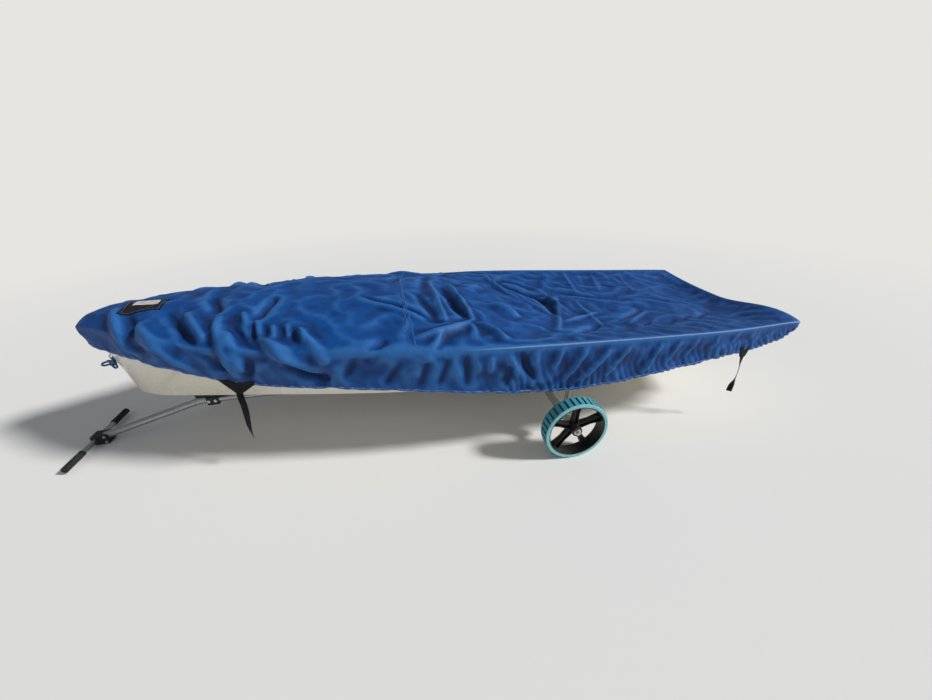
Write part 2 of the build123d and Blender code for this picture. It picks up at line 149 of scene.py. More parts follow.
def linear(colour):
    """Linear RGBA from an sRGB hex colour such as 1d4f9e. A property's colour is linear already."""
    if not isinstance(colour, str):
        return colour
    channels = [int(colour[i:i + 2], 16) / 255 for i in (0, 2, 4)]
    return [c / 12.92 if c <= 0.04045 else ((c + 0.055) / 1.055) ** 2.4 for c in channels] + [1.0]


def length(name, description, default):
    """Length that a user can change, as a property in metres."""
    return FloatProperty(name=name, description=description, default=default, unit="LENGTH")


def shade(name, description, default):
    """Colour that a user can change, as a property whose default is an sRGB hex colour."""
    return FloatVectorProperty(
        name=name, description=description, default=linear(default), size=4, subtype="COLOR")


def add_node(tree, kind, settings=None, inputs=None):
    """Adds a node with its settings. An input is a value, or another node's output, which is linked."""
    node = tree.nodes.new(kind)
    for name, value in (settings or {}).items():
        setattr(node, name, value)
    for name, value in (inputs or {}).items():
        if isinstance(value, bpy.types.NodeSocket):
            tree.links.new(value, node.inputs[name])
        else:
            node.inputs[name].default_value = value
    return node


# Materials

# Lumps of a finish's pattern: their size in metres, their detail, and their own coordinates if they have any
Lumps = namedtuple("Lumps", "size detail rough distortion place", defaults=(0.55, 0.0, None))


class Finish:
    """A material as it is built: its shader, its colour so far and the place that its patterns read."""

    def __init__(self, name, colour, roughness, sockets=None, coordinates="Object"):
        self.material = bpy.data.materials.new(name)
        self.material.use_nodes = True
        self.tree = self.material.node_tree
        self.shader = self.tree.nodes["Principled BSDF"]
        values = {"Base Color": linear(colour), "Roughness": roughness, **(sockets or {})}
        for socket, value in values.items():
            self.shader.inputs[socket].default_value = value
        self.place = self.add("ShaderNodeTexCoord").outputs[coordinates]
        self.colour = None

    def add(self, kind, settings=None, inputs=None):
        """Adds a node to the material."""
        return add_node(self.tree, kind, settings, inputs)

    def height(self, source):
        """Output that a pattern reads: another node's, or that of new lumps."""
        if not isinstance(source, Lumps):
            return source
        return self.add("ShaderNodeTexNoise", {}, {
            "Vector": source.place or self.place, "Scale": 1 / source.size, "Detail": source.detail,
            "Roughness": source.rough, "Distortion": source.distortion}).outputs["Fac"]

    def share(self, source, low, high, most=1.0, least=0.0):
        """Share of a pattern that shows: none to most as its source goes from low to high, clamped."""
        return self.add("ShaderNodeMapRange", {}, {
            "Value": self.height(source), "From Min": low, "From Max": high,
            "To Min": least, "To Max": most}).outputs["Result"]

    def tint(self, share, over, under=None):
        """Lays a colour by a share over the one so far, or over the one that is given as the first."""
        under = linear(under) if under else self.colour
        mix = self.add("ShaderNodeMix", {"data_type": "RGBA"}, {"Factor": share, 6: under, 7: linear(over)})
        self.colour = mix.outputs[2]
        self.tree.links.new(self.colour, self.shader.inputs["Base Color"])
        return share

    def gloss(self, source, low, high, least, most):
        """Varies the roughness from the least to the most."""
        self.tree.links.new(self.share(source, low, high, most, least), self.shader.inputs["Roughness"])

    def relief(self, source, deep, strength, under=None):
        """Raises the surface by a pattern of the given depth in metres, on top of another if one is given."""
        inputs = {"Height": self.height(source), "Distance": deep, "Strength": strength}
        if under:
            inputs["Normal"] = under
        bump = self.add("ShaderNodeBump", {}, inputs)
        self.tree.links.new(bump.outputs["Normal"], self.shader.inputs["Normal"])
        return bump.outputs["Normal"]

    def weave(self, spacing, place=None):
        """Plain weave: threads that cross, the given spacing apart in metres."""
        waves = {}
        for index, axis in enumerate(("X", "Y")):
            waves[index] = self.add("ShaderNodeTexWave", {"bands_direction": axis}, {
                "Vector": place or self.place, "Scale": WAVES / spacing, "Distortion": 0.0}).outputs["Fac"]
        return self.add("ShaderNodeMath", {"operation": "MULTIPLY"}, waves).outputs[0]


def coated_polyester(colour):
    """Woven polyester with a polyurethane coat: royal blue and half glossy, with painted shade in the hollows
    of its folds, and painted highlight on their crests and along the taut gunwale crease.
    """
    finish = Finish("coated polyester", "164a8c", 0.45, {
        "Specular IOR Level": 0.24, "Sheen Weight": 0.02, "Sheen Roughness": 0.4}, "UV")
    finish.tint(finish.share(Lumps(0.55, 4.0), 0.35, 0.7), colour, "053f80")
    finish.tint(finish.share(Lumps(0.09, 6.0, 0.65), 0.52, 0.8, 0.35), "1f5f9c")
    finish.tint(finish.share(Lumps(0.23, 3.0), 0.55, 0.75, 0.4), "0a3166")
    # Painted shade darkens the hollows of the folds and painted highlight lightens their crests, by how far
    # each point stands out
    raised = finish.add("ShaderNodeAttribute", {"attribute_name": "relief"}).outputs["Fac"]
    finish.tint(finish.share(raised, -0.1, -1.0, 0.7), "051d45")
    finish.tint(finish.share(raised, 0.1, 1.0, 0.34), "4488c8")
    # Painted highlight along the taut gunwale crease
    crease_highlight = finish.add("ShaderNodeAttribute", {"attribute_name": "crease_highlight"}).outputs["Fac"]
    finish.tint(finish.share(crease_highlight, 0.1, 0.9, 0.6), "86a6d4")
    finish.gloss(Lumps(0.12, 4.0), 0.3, 0.7, 0.52, 0.66)
    soft = finish.relief(Lumps(0.05, 5.0, 0.5, 0.6), 0.006, 0.6)
    finish.relief(finish.weave(THREADS), 0.0003, 0.35, soft)
    return finish.material


def polyester_binding():
    """Folded strip of the same cloth along the hem, paler where it has chafed."""
    finish = Finish("polyester binding", "1a4f97", 0.6, {
        "Specular IOR Level": 0.3, "Sheen Weight": 0.05}, "UV")
    finish.tint(finish.share(Lumps(0.03, 5.0), 0.45, 0.7, 0.7), "86a6cf", "1d4f96")
    finish.relief(finish.weave(THREADS), 0.0004, 0.5)
    return finish.material


def gelcoat(colour):
    """Polyester gelcoat from a polished mould: off-white and glossy, chalked and stained by age."""
    finish = Finish("gelcoat", "e9e6dc", 0.24, {"Coat Weight": 0.35, "Coat Roughness": 0.15})
    finish.tint(finish.share(Lumps(0.6, 3.0), 0.35, 0.7, 0.6), "d6cdb4", colour)
    up = finish.add("ShaderNodeSeparateXYZ", {}, {0: finish.place}).outputs["Z"]
    low = finish.share(up, 0.28, 0.48, 0.0, 0.55)
    streaks = finish.add("ShaderNodeMapping", {}, {"Vector": finish.place, "Scale": (1.0, 1.0, 0.12)})
    grime = finish.share(Lumps(0.05, 5.0, 0.6, place=streaks.outputs[0]), 0.4, 0.75)
    dirt = finish.add("ShaderNodeMath", {"operation": "MULTIPLY"}, {0: grime, 1: low}).outputs[0]
    finish.tint(dirt, "a59b84")
    finish.gloss(Lumps(0.14, 4.0), 0.35, 0.7, 0.16, 0.38)
    finish.relief(Lumps(0.018, 2.0), 0.0004, 0.25)
    return finish.material


def woven_webbing(name="black webbing", colour="0c0c0e", worn="1d1c20"):
    """Polyester webbing woven in ribs 3 mm apart, its black faded to brown by the sun."""
    finish = Finish(name, colour, 0.85, {"Specular IOR Level": 0.25, "Sheen Weight": 0.04})
    finish.tint(finish.share(Lumps(0.05, 4.0), 0.4, 0.7), worn, colour)
    ribs = finish.add("ShaderNodeTexWave", {"bands_direction": "Z"}, {
        "Vector": finish.place, "Scale": WAVES / 0.003, "Distortion": 0.3}).outputs["Fac"]
    finish.relief(ribs, 0.0006, 0.8)
    return finish.material


def braided_rope(colour):
    """Braided polyester rope: blue strands that cross at an angle, with a dusty nap."""
    finish = Finish("braided rope", "1f6fb0", 0.8, {"Sheen Weight": 0.4})
    turned = finish.add("ShaderNodeMapping", {}, {"Vector": finish.place, "Rotation": (0.6, 0.5, 0.7)})
    strands = finish.tint(finish.weave(0.004, turned.outputs[0]), colour, "134a7c")
    finish.relief(strands, 0.001, 0.9)
    return finish.material


def moulded_nylon():
    """Glass-filled nylon, injection moulded: black with a fine grain and patches of grey dust."""
    finish = Finish("moulded nylon", "121214", 0.5)
    dust = finish.tint(finish.share(Lumps(0.04, 5.0), 0.5, 0.8, 0.5), "3a3836", "101012")
    finish.gloss(dust, 0.0, 0.5, 0.42, 0.75)
    finish.relief(Lumps(0.0022, 2.0), 0.0002, 0.4)
    return finish.material


def moulded_rubber():
    """Black rubber from a mould: matt, with a bloom of grey."""
    finish = Finish("moulded rubber", "1a1a1a", 0.8)
    finish.tint(finish.share(Lumps(0.03, 5.0), 0.45, 0.75, 0.6), "3d3c3a", "151515")
    finish.relief(Lumps(0.004, 3.0), 0.0003, 0.5)
    return finish.material


def foam_tyre(colour):
    """Closed-cell foam tyre in teal, darker below the tread's surface and paler along its outer shoulder."""
    finish = Finish("foam tyre", "2f8ea3", 0.72)
    low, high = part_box("tyre_port")
    tread_radius = (high.z - low.z) / 2
    spread = finish.add("ShaderNodeSeparateXYZ", {}, {0: finish.place})
    across = finish.add("ShaderNodeMath", {"operation": "ABSOLUTE"}, {0: spread.outputs["Y"]}).outputs[0]
    shoulder = finish.share(across, high.y - 0.009, high.y - 0.002)
    reach = finish.place
    for operation, inputs in (("SUBTRACT", {1: (AXLE.x, 0.0, tread_radius)}),
                              ("MULTIPLY", {1: (1.0, 0.0, 1.0)}), ("LENGTH", {})):
        step = finish.add("ShaderNodeVectorMath", {"operation": operation}, {0: reach, **inputs})
        reach = step.outputs["Value" if operation == "LENGTH" else "Vector"]
    crest = finish.share(reach, tread_radius - 0.006, tread_radius - 0.0015)
    # Darker teal below the tread's surface, in its grooves and down its sides
    finish.tint(crest, colour, "14566c")
    finish.tint(shoulder, "86c6ca")
    finish.tint(finish.share(Lumps(0.03, 6.0, 0.65), 0.45, 0.75, 0.6), "5f7f7d")
    finish.relief(Lumps(0.003, 3.0), 0.0005, 0.5)
    return finish.material


def stainless_steel():
    """Marine stainless steel, pressed and polished, with fine scratches and tea-coloured stains."""
    finish = Finish("stainless steel", "c9c7c2", 0.28, {"Metallic": 1.0})
    stain = finish.tint(finish.share(Lumps(0.02, 4.0), 0.5, 0.8, 0.5), "9a8a72", "c9c7c2")
    finish.gloss(stain, 0.0, 0.5, 0.22, 0.5)
    finish.relief(Lumps(0.001, 2.0), 0.0001, 0.4)
    return finish.material


def drawn_aluminium():
    """Aluminium tube as drawn: dull grey with white spots of oxide."""
    finish = Finish("drawn aluminium", "b9bbbd", 0.42, {"Metallic": 1.0})
    oxide = finish.tint(finish.share(Lumps(0.012, 6.0, 0.7), 0.5, 0.75, 0.8), "8f8f8c", "b4b6b8")
    finish.gloss(oxide, 0.0, 0.8, 0.34, 0.7)
    finish.relief(Lumps(0.006, 4.0), 0.0002, 0.4)
    return finish.material


def powder_coat():
    """Black powder coat on cast aluminium: satin, with orange peel."""
    finish = Finish("powder coat", "1b1b1e", 0.5)
    finish.tint(finish.share(Lumps(0.03, 6.0, 0.7), 0.62, 0.78, 0.7), "6a6966", "19191c")
    finish.relief(Lumps(0.003, 2.0), 0.0003, 0.5)
    return finish.material


def label_vinyl():
    """Blank printed-vinyl label, its white gone grey and pink in the sun."""
    finish = Finish("label vinyl", "cfc6c4", 0.5)
    finish.tint(finish.share(Lumps(0.025, 4.0), 0.4, 0.7, 0.8), "a99a9a", "d6cfcd")
    finish.relief(Lumps(0.006, 3.0), 0.0004, 0.4)
    return finish.material


def bonded_thread():
    """Bonded polyester sewing thread, paler than the cloth."""
    finish = Finish("bonded thread", "5f84bd", 0.6)
    finish.relief(Lumps(0.0012, 2.0), 0.0002, 0.4)
    return finish.material


def camera_sees(tree, fac, plain, shown, surface):
    """Ends a tree with two shaders, of which the camera sees the second by a share."""
    both = add_node(tree, "ShaderNodeMixShader", {}, {"Fac": fac, 1: plain, 2: shown})
    tree.links.new(both.outputs[0], surface)


def seamless_paper():
    """Matt paper of a studio floor, one even tone that runs into the backdrop's far away."""
    finish = Finish("floor paper", "eeedea", 0.9)
    away = finish.add("ShaderNodeVectorMath", {"operation": "LENGTH"}, {0: finish.place}).outputs["Value"]
    fade = finish.share(away, 3.0, 8.0)
    seen = finish.add("ShaderNodeLightPath").outputs["Is Camera Ray"]
    share = finish.add("ShaderNodeMath", {"operation": "MULTIPLY"}, {0: fade, 1: seen}).outputs[0]
    far = finish.add("ShaderNodeEmission", {}, {"Color": linear(BACKDROP), "Strength": 1.0})
    camera_sees(finish.tree, share, finish.shader.outputs[0], far.outputs[0],
                finish.tree.nodes["Material Output"].inputs["Surface"])
    return finish.material


# Pieces


def read(items, key, width=3, kind=float):
    """The items' values as an array, with a row for each item."""
    values = np.empty(len(items) * width, kind)
    items.foreach_get(key, values)
    return values.reshape(-1, width)


def places_of(mesh):
    """The mesh's points as an array."""
    return read(mesh.vertices, "co")


def normals_of(mesh):
    """The mesh's point normals as an array."""
    return read(mesh.vertex_normals, "vector")


def set_places(mesh, places):
    """Moves the mesh's points."""
    mesh.vertices.foreach_set("co", places.ravel())
    mesh.update()


def store(mesh, name, values):
    """Keeps a number or a vector at each of the mesh's points."""
    values = np.array(values, float)
    kind, key = ("FLOAT_VECTOR", "vector") if values.ndim == 2 else ("FLOAT", "value")
    mesh.attributes.new(name, kind, "POINT").data.foreach_set(key, values.ravel())


def shown_piece(name, mesh, material=None):
    """New object at the origin that shows a mesh, smooth where it gets a material, and rides on the boat."""
    if material:
        mesh.materials.append(material)
        mesh.polygons.foreach_set("use_smooth", [True] * len(mesh.polygons))
    piece = bpy.data.objects.new(name, mesh)
    bpy.context.scene.collection.objects.link(piece)
    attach(piece, "root")
    return piece


def mesh_piece(name, points, faces, material, flat):
    """New piece from points and faces, with each point's place on the flat cloth."""
    mesh = bpy.data.meshes.new(name)
    mesh.from_pydata([tuple(point) for point in points], [], [tuple(face) for face in faces])
    corners = read(mesh.loops, "vertex_index", 1, int).ravel()
    mesh.uv_layers.new(name="flat cloth").uv.foreach_set("vector", np.array(flat)[corners].ravel())
    return shown_piece(name, mesh, material)


def turn_outwards(mesh):
    """Makes the faces of a closed mesh point outwards."""
    shell = bmesh.new()
    shell.from_mesh(mesh)
    bmesh.ops.recalc_face_normals(shell, faces=shell.faces)
    shell.to_mesh(mesh)
    shell.free()


def unit(vectors):
    """Each vector at length 1."""
    return vectors / np.maximum(np.linalg.norm(vectors, axis=-1), 1e-12)[..., None]


def distances(run):
    """How far along a run of points each of them is."""
    return np.concatenate([[0], np.cumsum(np.linalg.norm(np.diff(run, axis=0), axis=1))])


def ribbon(name, run, facing, width, thick, material, closed=False):
    """Flat strap with rounded edges along a run of points, its face turned as given at each of them."""
    along = np.roll(run, -1, axis=0) - np.roll(run, 1, axis=0)
    if not closed:
        along[0], along[-1] = run[1] - run[0], run[-1] - run[-2]
    along = unit(along)
    across = unit(np.cross(along, facing))
    outward = np.cross(across, along)
    section = np.array(RIBBON) * (width, thick)
    points = run[:, None] + section[:, :1] * across[:, None] + section[:, 1:] * outward[:, None]
    flat = np.stack(np.broadcast_arrays(distances(run)[:, None], section[:, 0]), axis=-1)
    size = len(RIBBON)
    faces = []
    for step in range(len(run) if closed else len(run) - 1):
        here, ahead = step * size, (step + 1) % len(run) * size
        for corner in range(size):
            after = (corner + 1) % size
            faces.append((here + corner, here + after, ahead + after, ahead + corner))
    if not closed:
        faces += [range(size), range((len(run) - 1) * size, len(run) * size)]
    piece = mesh_piece(name, points.reshape(-1, 3), faces, material, flat.reshape(-1, 2))
    turn_outwards(piece.data)
    return piece


def apply_modifiers(piece):
    """Turns the evaluated piece into a plain mesh and removes its modifiers."""
    graph = bpy.context.evaluated_depsgraph_get()
    mesh = bpy.data.meshes.new_from_object(piece.evaluated_get(graph))
    piece.modifiers.clear()
    piece.data = mesh


def surface_tree(mesh):
    """Tree that finds the nearest point on a mesh."""
    return BVHTree.FromPolygons([v.co for v in mesh.vertices], [p.vertices for p in mesh.polygons])


def nurbs_mesh(points, order, closed, **settings):
    """Mesh of the smooth NURBS curve that a few route points give."""
    curve = bpy.data.curves.new("route", "CURVE")
    curve.dimensions = "3D"
    for name, value in settings.items():
        setattr(curve, name, value)
    spline = curve.splines.new("NURBS")
    spline.points.add(len(points) - 1)
    for control, point in zip(spline.points, points):
        control.co = (*point, 1.0)
    spline.order_u = order
    spline.use_cyclic_u = closed
    spline.use_endpoint_u = not closed
    holder = bpy.data.objects.new("route", curve)
    mesh = bpy.data.meshes.new_from_object(holder)
    bpy.data.objects.remove(holder)
    bpy.data.curves.remove(curve)
    return mesh


def smooth_run(points, samples):
    """Points evenly along a smooth open curve."""
    mesh = nurbs_mesh(points, 3, False, resolution_u=samples)
    run = places_of(mesh)
    bpy.data.meshes.remove(mesh)
    return run


def geometry_tree(name, sizes):
    """New geometry tree with a named input for each size, and its group input and output."""
    tree = bpy.data.node_groups.new(name, "GeometryNodeTree")
    tree.interface.new_socket("Geometry", in_out="INPUT", socket_type="NodeSocketGeometry")
    for size in sizes:
        tree.interface.new_socket(size, in_out="INPUT", socket_type="NodeSocketFloat")
    tree.interface.new_socket("Geometry", in_out="OUTPUT", socket_type="NodeSocketGeometry")
    given = add_node(tree, "NodeGroupInput").outputs
    return tree, given, add_node(tree, "NodeGroupOutput").inputs["Geometry"]


def lay_copies(tree, points, pattern, facing, scale, material, out):
    """Ends a geometry tree: copies of the pattern on the points, made real in a material."""
    turned = add_node(tree, "FunctionNodeAlignRotationToVector", {"axis": "Z"}, {"Vector": facing}).outputs[0]
    copies = add_node(tree, "GeometryNodeInstanceOnPoints", {}, {
        "Points": points, "Instance": pattern, "Rotation": turned, "Scale": scale}).outputs[0]
    real = add_node(tree, "GeometryNodeRealizeInstances", {}, {"Geometry": copies}).outputs[0]
    done = add_node(tree, "GeometryNodeSetMaterial", {}, {"Geometry": real, "Material": material})
    tree.links.new(done.outputs[0], out)
    return tree


def stitch_tree(material):
    """Tree that lays short stitches end to end along the lines of a mesh."""
    tree, given, out = geometry_tree("stitches", ("Spacing", "Length", "Radius"))
    line = add_node(tree, "GeometryNodeMeshToCurve", {}, {"Mesh": given["Geometry"]}).outputs[0]
    spaced = add_node(tree, "GeometryNodeResampleCurve", {"mode": "LENGTH"}, {
        "Curve": line, "Length": given["Spacing"]}).outputs[0]
    stitch = add_node(tree, "GeometryNodeMeshCylinder", {"fill_type": "TRIANGLE_FAN"}, {
        "Vertices": 5, "Radius": given["Radius"], "Depth": given["Length"]}).outputs["Mesh"]
    way = add_node(tree, "GeometryNodeInputTangent").outputs[0]
    return lay_copies(tree, spaced, stitch, way, (1, 1, 1), material, out)


def bolt_tree(material):
    """Tree that sets a hexagonal head on a round washer at each point, turned and sized by its attributes."""
    tree, given, out = geometry_tree("bolts", ("Head", "Washer"))
    head, washer = [
        add_node(tree, "GeometryNodeMeshCylinder", {}, {
            "Vertices": sides, "Radius": radius, "Depth": given[part]}).outputs["Mesh"]
        for part, sides, radius in (("Head", 6, 1.0), ("Washer", 18, 1.45))]
    stand = add_node(tree, "ShaderNodeMath", {"operation": "DIVIDE"}, {0: given["Head"], 1: 2.0}).outputs[0]
    lift = add_node(tree, "ShaderNodeCombineXYZ", {}, {"Z": stand}).outputs[0]
    raised = add_node(tree, "GeometryNodeTransform", {}, {"Geometry": head, "Translation": lift}).outputs[0]
    both = add_node(tree, "GeometryNodeJoinGeometry")
    for part in (raised, washer):
        tree.links.new(part, both.inputs[0])
    facing, size = [
        add_node(tree, "GeometryNodeInputNamedAttribute", {"data_type": kind}, {"Name": name}).outputs[0]
        for name, kind in (("facing", "FLOAT_VECTOR"), ("size", "FLOAT"))]
    return lay_copies(tree, given["Geometry"], both.outputs[0], facing, size, material, out)


def grown(name, mesh, tree, values):
    """Piece that a geometry tree grows from a mesh, with the given values for the tree's inputs."""
    piece = shown_piece(name, mesh)
    maker = piece.modifiers.new("maker", "NODES")
    maker.node_group = tree
    for socket in tree.interface.items_tree:
        if socket.in_out == "INPUT" and socket.name in values:
            maker[socket.identifier] = values[socket.name]
    apply_modifiers(piece)
    return piece


class PhotoView:
    """Sight lines from the stage's camera through marks on its picture."""

    wide = 932
    high = 700

    def __init__(self, sizes):
        self.eye = Vector((AXLE.x, 0, 0)) + Vector(sizes.eye)
        self.turn = Euler([radians(angle) for angle in sizes.turn]).to_matrix()
        self.focal = sizes.lens / SENSOR * self.wide

    def meets(self, tree, mark):
        """Where the line through a mark meets a surface."""
        aim = Vector(((mark[0] - self.wide / 2) / self.focal, (self.high / 2 - mark[1]) / self.focal, -1))
        return tree.ray_cast(self.eye, (self.turn @ aim).normalized())[0]


# Boat cover

# Folds that show in the photograph: width and height in mm, then marks along each crest or hollow.
# A mark is x to the right and y down in the camera's picture, which is 932 wide and 700 high.
FOLDS = (
    (34, 15, (116, 309), (120, 328), (133, 350), (143, 357)),
    (26, -12, (127, 318), (133, 336), (144, 353)),
    (40, 15, (135, 324), (155, 343), (176, 358), (203, 372)),
    (26, -10, (167, 311), (178, 327), (192, 344), (208, 358), (222, 370)),
    (30, 13, (186, 312), (196, 330), (210, 346)),
    (36, -15, (205, 338), (215, 353), (224, 372)),
    (28, 19, (220, 317), (218, 340), (227, 361), (241, 379)),
    (26, -12, (213, 296), (219, 314)),
    (24, -14, (231, 326), (243, 341), (257, 354), (268, 362)),
    (24, 14, (227, 332), (235, 352), (245, 374)),
    (22, -15, (277, 296), (267, 308), (255, 323)),
    (20, -19, (255, 323), (251, 340), (250, 360), (248, 379)),
    (30, 15, (262, 340), (278, 352), (300, 366), (325, 378)),
    (34, -19, (284, 362), (305, 374), (331, 381)),
    (14, 9, (243, 312), (247, 326)),
    (12, 9, (258, 320), (256, 335)),
    (12, 9, (273, 325), (275, 340)),
    (12, 8, (287, 324), (289, 338)),
    (14, 9, (300, 328), (306, 344)),
    (10, -7, (265, 324), (267, 338)),
    (10, -4, (281, 326), (283, 338)),
    (10, -4, (294, 330), (297, 342)),
    (24, 11, (300, 330), (318, 352), (330, 364)),
    (24, -10, (387, 338), (375, 352), (363, 364)),
    (14, -9, (359, 296), (380, 300), (397, 304), (420, 312), (441, 322)),
    (16, 7, (357, 300), (380, 306), (400, 310), (430, 322)),
    (14, 13, (427, 281), (436, 298), (442, 312), (446, 322)),
    (26, -11, (416, 292), (428, 306), (438, 320)),
    (28, -17, (440, 286), (455, 304), (468, 320)),
    (14, 13, (446, 283), (462, 302), (474, 322)),
    (20, 13, (474, 323), (490, 328), (508, 341)),
    (22, 13, (472, 323), (455, 329), (437, 334), (412, 339)),
    (16, -9, (470, 318), (450, 321), (420, 319)),
    (20, 14, (472, 325), (476, 345), (482, 372)),
    (34, -15, (490, 278), (515, 290), (550, 300), (560, 318)),
    (16, 10, (483, 275), (500, 292), (525, 301)),
    (50, 14, (490, 303), (520, 318)),
    (14, 11, (555, 296), (561, 318), (558, 330)),
    (20, -13, (545, 327), (565, 331), (585, 332), (600, 323)),
    (16, 9, (562, 322), (580, 318), (598, 312)),
    (14, 8, (575, 300), (595, 320), (605, 326)),
    (14, -10, (618, 321), (632, 313), (643, 309)),
    (10, 7, (645, 312), (636, 318), (628, 324)),
    (9, -6, (644, 326), (651, 321)),
    (9, -6, (667, 323), (676, 318)),
    (9, -6, (682, 319), (690, 315)),
    (9, -6, (697, 317), (707, 312)),
    (11, 6, (562, 272), (570, 284), (576, 292)),
    (9, 3, (575, 272), (584, 285)),
    (10, 4, (590, 272), (601, 293)),
    (9, 2, (602, 273), (610, 284)),
    (10, 4, (618, 274), (634, 292)),
    (14, 15, (507, 344), (511, 360), (517, 374)),
    (22, -15, (522, 350), (528, 368), (534, 380)),
    (14, 10, (540, 344), (531, 366)),
    (14, 10, (565, 345), (552, 370)),
    (14, 11, (590, 345), (572, 368), (560, 384)),
    (14, 11, (612, 347), (592, 369), (574, 382)),
    (12, 10, (632, 345), (618, 360), (604, 374)),
    (12, 10, (662, 343), (642, 372)),
    (11, 9, (682, 340), (664, 364)),
    (10, 9, (700, 337), (684, 358)),
    (10, 8, (722, 333), (710, 349)),
    (9, 7, (741, 330), (732, 343)),
    (8, 6, (757, 327), (749, 338)),
    (14, 13, (442, 334), (434, 348), (425, 363)),
    (22, 8, (492, 356), (490, 374)),
    (20, -8, (466, 352), (469, 368), (466, 386)),
    (20, -8, (513, 362), (510, 375), (505, 387)),
    (16, -6, (450, 358), (444, 373), (438, 386)),
    (16, -7, (429, 360), (425, 374), (419, 386)),
    (14, -6, (402, 362), (394, 374), (384, 386)),
    (16, -7, (360, 352), (353, 366), (344, 380)),
)
# Marks along the seam across the cover
SEAM = ((399, 274), (401, 290), (405, 306), (411, 324), (415, 345))
# The wear patch and its blank label: the mark in their middle, and their length, width and thickness
PATCH = (144, 306)
PATCH_SIZE = (0.2, 0.12, 0.002)
LABEL = (147, 303)
LABEL_SIZE = (0.115, 0.045, 0.0012)


def farthest(holds, inside, outside):
    """The last value from inside towards outside for which something still holds."""
    for _ in range(HALVINGS):
        middle = (inside + outside) / 2
        inside, outside = (middle, outside) if holds(middle) else (inside, middle)
    return inside


class CoverForm:
    """The boat cover's outer surface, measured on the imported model."""

    def __init__(self):
        self.tree = surface_tree(NODES["cover"].data)
        self.low, self.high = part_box("cover")

    def top(self, x, y):
        """Point of the cloth above a place, or None beside the boat."""
        return self.tree.ray_cast(Vector((x, y, OVERHEAD)), Vector((0, 0, -1)))[0]

    def half(self, x):
        """Half-breadth at the gunwale crease."""
        return farthest(lambda y: self.top(x, y), 0.0, self.high.y + PAST_SIDE)

    def down_skirt(self, crease, inward):
        """Points from the crease down to the hem, found by level rays that point inwards."""
        def met(z):
            start = Vector((crease.x, crease.y, z)) - inward * RAY_BACK
            return self.tree.ray_cast(start, inward, RAY_REACH)[0]

        start = crease.z - BELOW_CREASE
        hem = farthest(met, start, start - SKIRT_DROP)
        levels = [crease.z + (hem - crease.z) * row / SKIRT_ROWS for row in range(1, SKIRT_ROWS + 1)]
        return [met(z) or Vector((crease.x, crease.y, z)) for z in levels]


def cover_grid(form, columns, rows):
    """Points and quads of the whole cover, each point's place on the flat cloth, its depth and the crease.

    The top is a grid, and the skirt is a band of rows that hangs from its edge all round."""
    aft, ahead = form.low.x + INSET_AFT, form.high.x - INSET_AHEAD
    points, faces, flat, depth, top_at = [], [], [], [], {}
    for column in range(columns + 1):
        x = aft + (ahead - aft) * column / columns
        half = form.half(x) - INSET_SIDE
        for row in range(-rows, rows + 1):
            y = half * row / rows
            top_at[column, row] = len(points)
            points.append(Vector((x, y, form.top(x, y).z)))
            flat.append((x, y * FLAT_FULLER))
            depth.append(0.0)
    for column in range(columns):
        for row in range(-rows, rows):
            faces.append([top_at[column + over, row + up] for over, up in ((0, 0), (1, 0), (1, 1), (0, 1))])
    edge = [(column, rows) for column in range(columns + 1)]
    edge += [(columns, row) for row in range(rows - 1, -rows, -1)]
    edge += [(column, -rows) for column in range(columns, -1, -1)]
    edge += [(0, row) for row in range(-rows + 1, rows)]
    band = []
    for column, row in edge:
        start = top_at[column, row]
        if abs(row) == rows:
            inward = Vector((0, -1 if row > 0 else 1, 0))
        else:
            inward = Vector((-1 if column == columns else 1, 0, 0))
        band.append([start])
        for step, point in enumerate(form.down_skirt(points[start], inward), 1):
            band[-1].append(len(points))
            drop = points[start].z - point.z
            flat.append((flat[start][0] - inward.x * drop, flat[start][1] - inward.y * drop))
            depth.append(step / SKIRT_ROWS)
            points.append(point)
    for left, right in zip(band, band[1:] + band[:1]):
        for row in range(SKIRT_ROWS):
            faces.append((left[row], right[row], right[row + 1], left[row + 1]))
    return points, faces, flat, np.array(depth), [column[0] for column in band]


def fold_lift(everywhere, width, height, run):
    """How far one fold lifts each point: a crest along its run, which fades at both ends."""
    reach = FOLD_REACH * width
    inside = (everywhere > run.min(axis=0) - reach) & (everywhere < run.max(axis=0) + reach)
    close = np.flatnonzero(inside.all(axis=1))
    places = everywhere[close]
    steps = np.linalg.norm(np.diff(run, axis=0), axis=1)
    reached = distances(run)
    nearest = np.full(len(places), np.inf)
    share = np.zeros(len(places))
    for start, end, step, before in zip(run[:-1], run[1:], steps, reached[:-1]):
        way = (end - start) / max(step, 1e-9)
        along = np.clip((places - start) @ way, 0, step)
        away = np.linalg.norm(places - start - along[:, None] * way, axis=1)
        closer = away < nearest
        nearest[closer] = away[closer]
        share[closer] = (before + along[closer]) / reached[-1]
    crest = np.clip(1 - nearest / reach, 0, 1) ** FOLD_POWER
    lift = np.zeros(len(everywhere))
    lift[close] = height * crest * (1 - np.abs(2 * share - 1) ** 3)
    return lift


def fold_heights(places, form, view, width_share=1.0):
    """Height of the crests, and depth of the hollows, that the photograph shows at each point."""
    lift = np.zeros(len(places))
    for width, height, *marks in FOLDS:
        met = [hit for hit in (view.meets(form.tree, mark) for mark in marks) if hit is not None]
        if len(met) < 2:
            continue
        run = smooth_run(met, FOLD_SAMPLES)
        runs = [run]
        if run[:, 1].mean() > FAR_SIDE:
            runs.append(run * (1, -1, 1) + (OTHER_SIDE_SHIFT, 0, 0))
        for line in runs:
            lift += fold_lift(places, width_share * width / 1000, height / 1000, line)
    return FOLD_HEIGHT * lift


def nearness(places, edge):
    """How near each point is to the gunwale's edge: 1 on it, and 0 from the reach outwards."""
    tree = KDTree(len(edge))
    for index, place in enumerate(edge):
        tree.insert(place, index)
    tree.balance()
    away = np.array([tree.find(place)[2] for place in places])
    return np.clip(1 - away / EDGE_REACH, 0, 1)


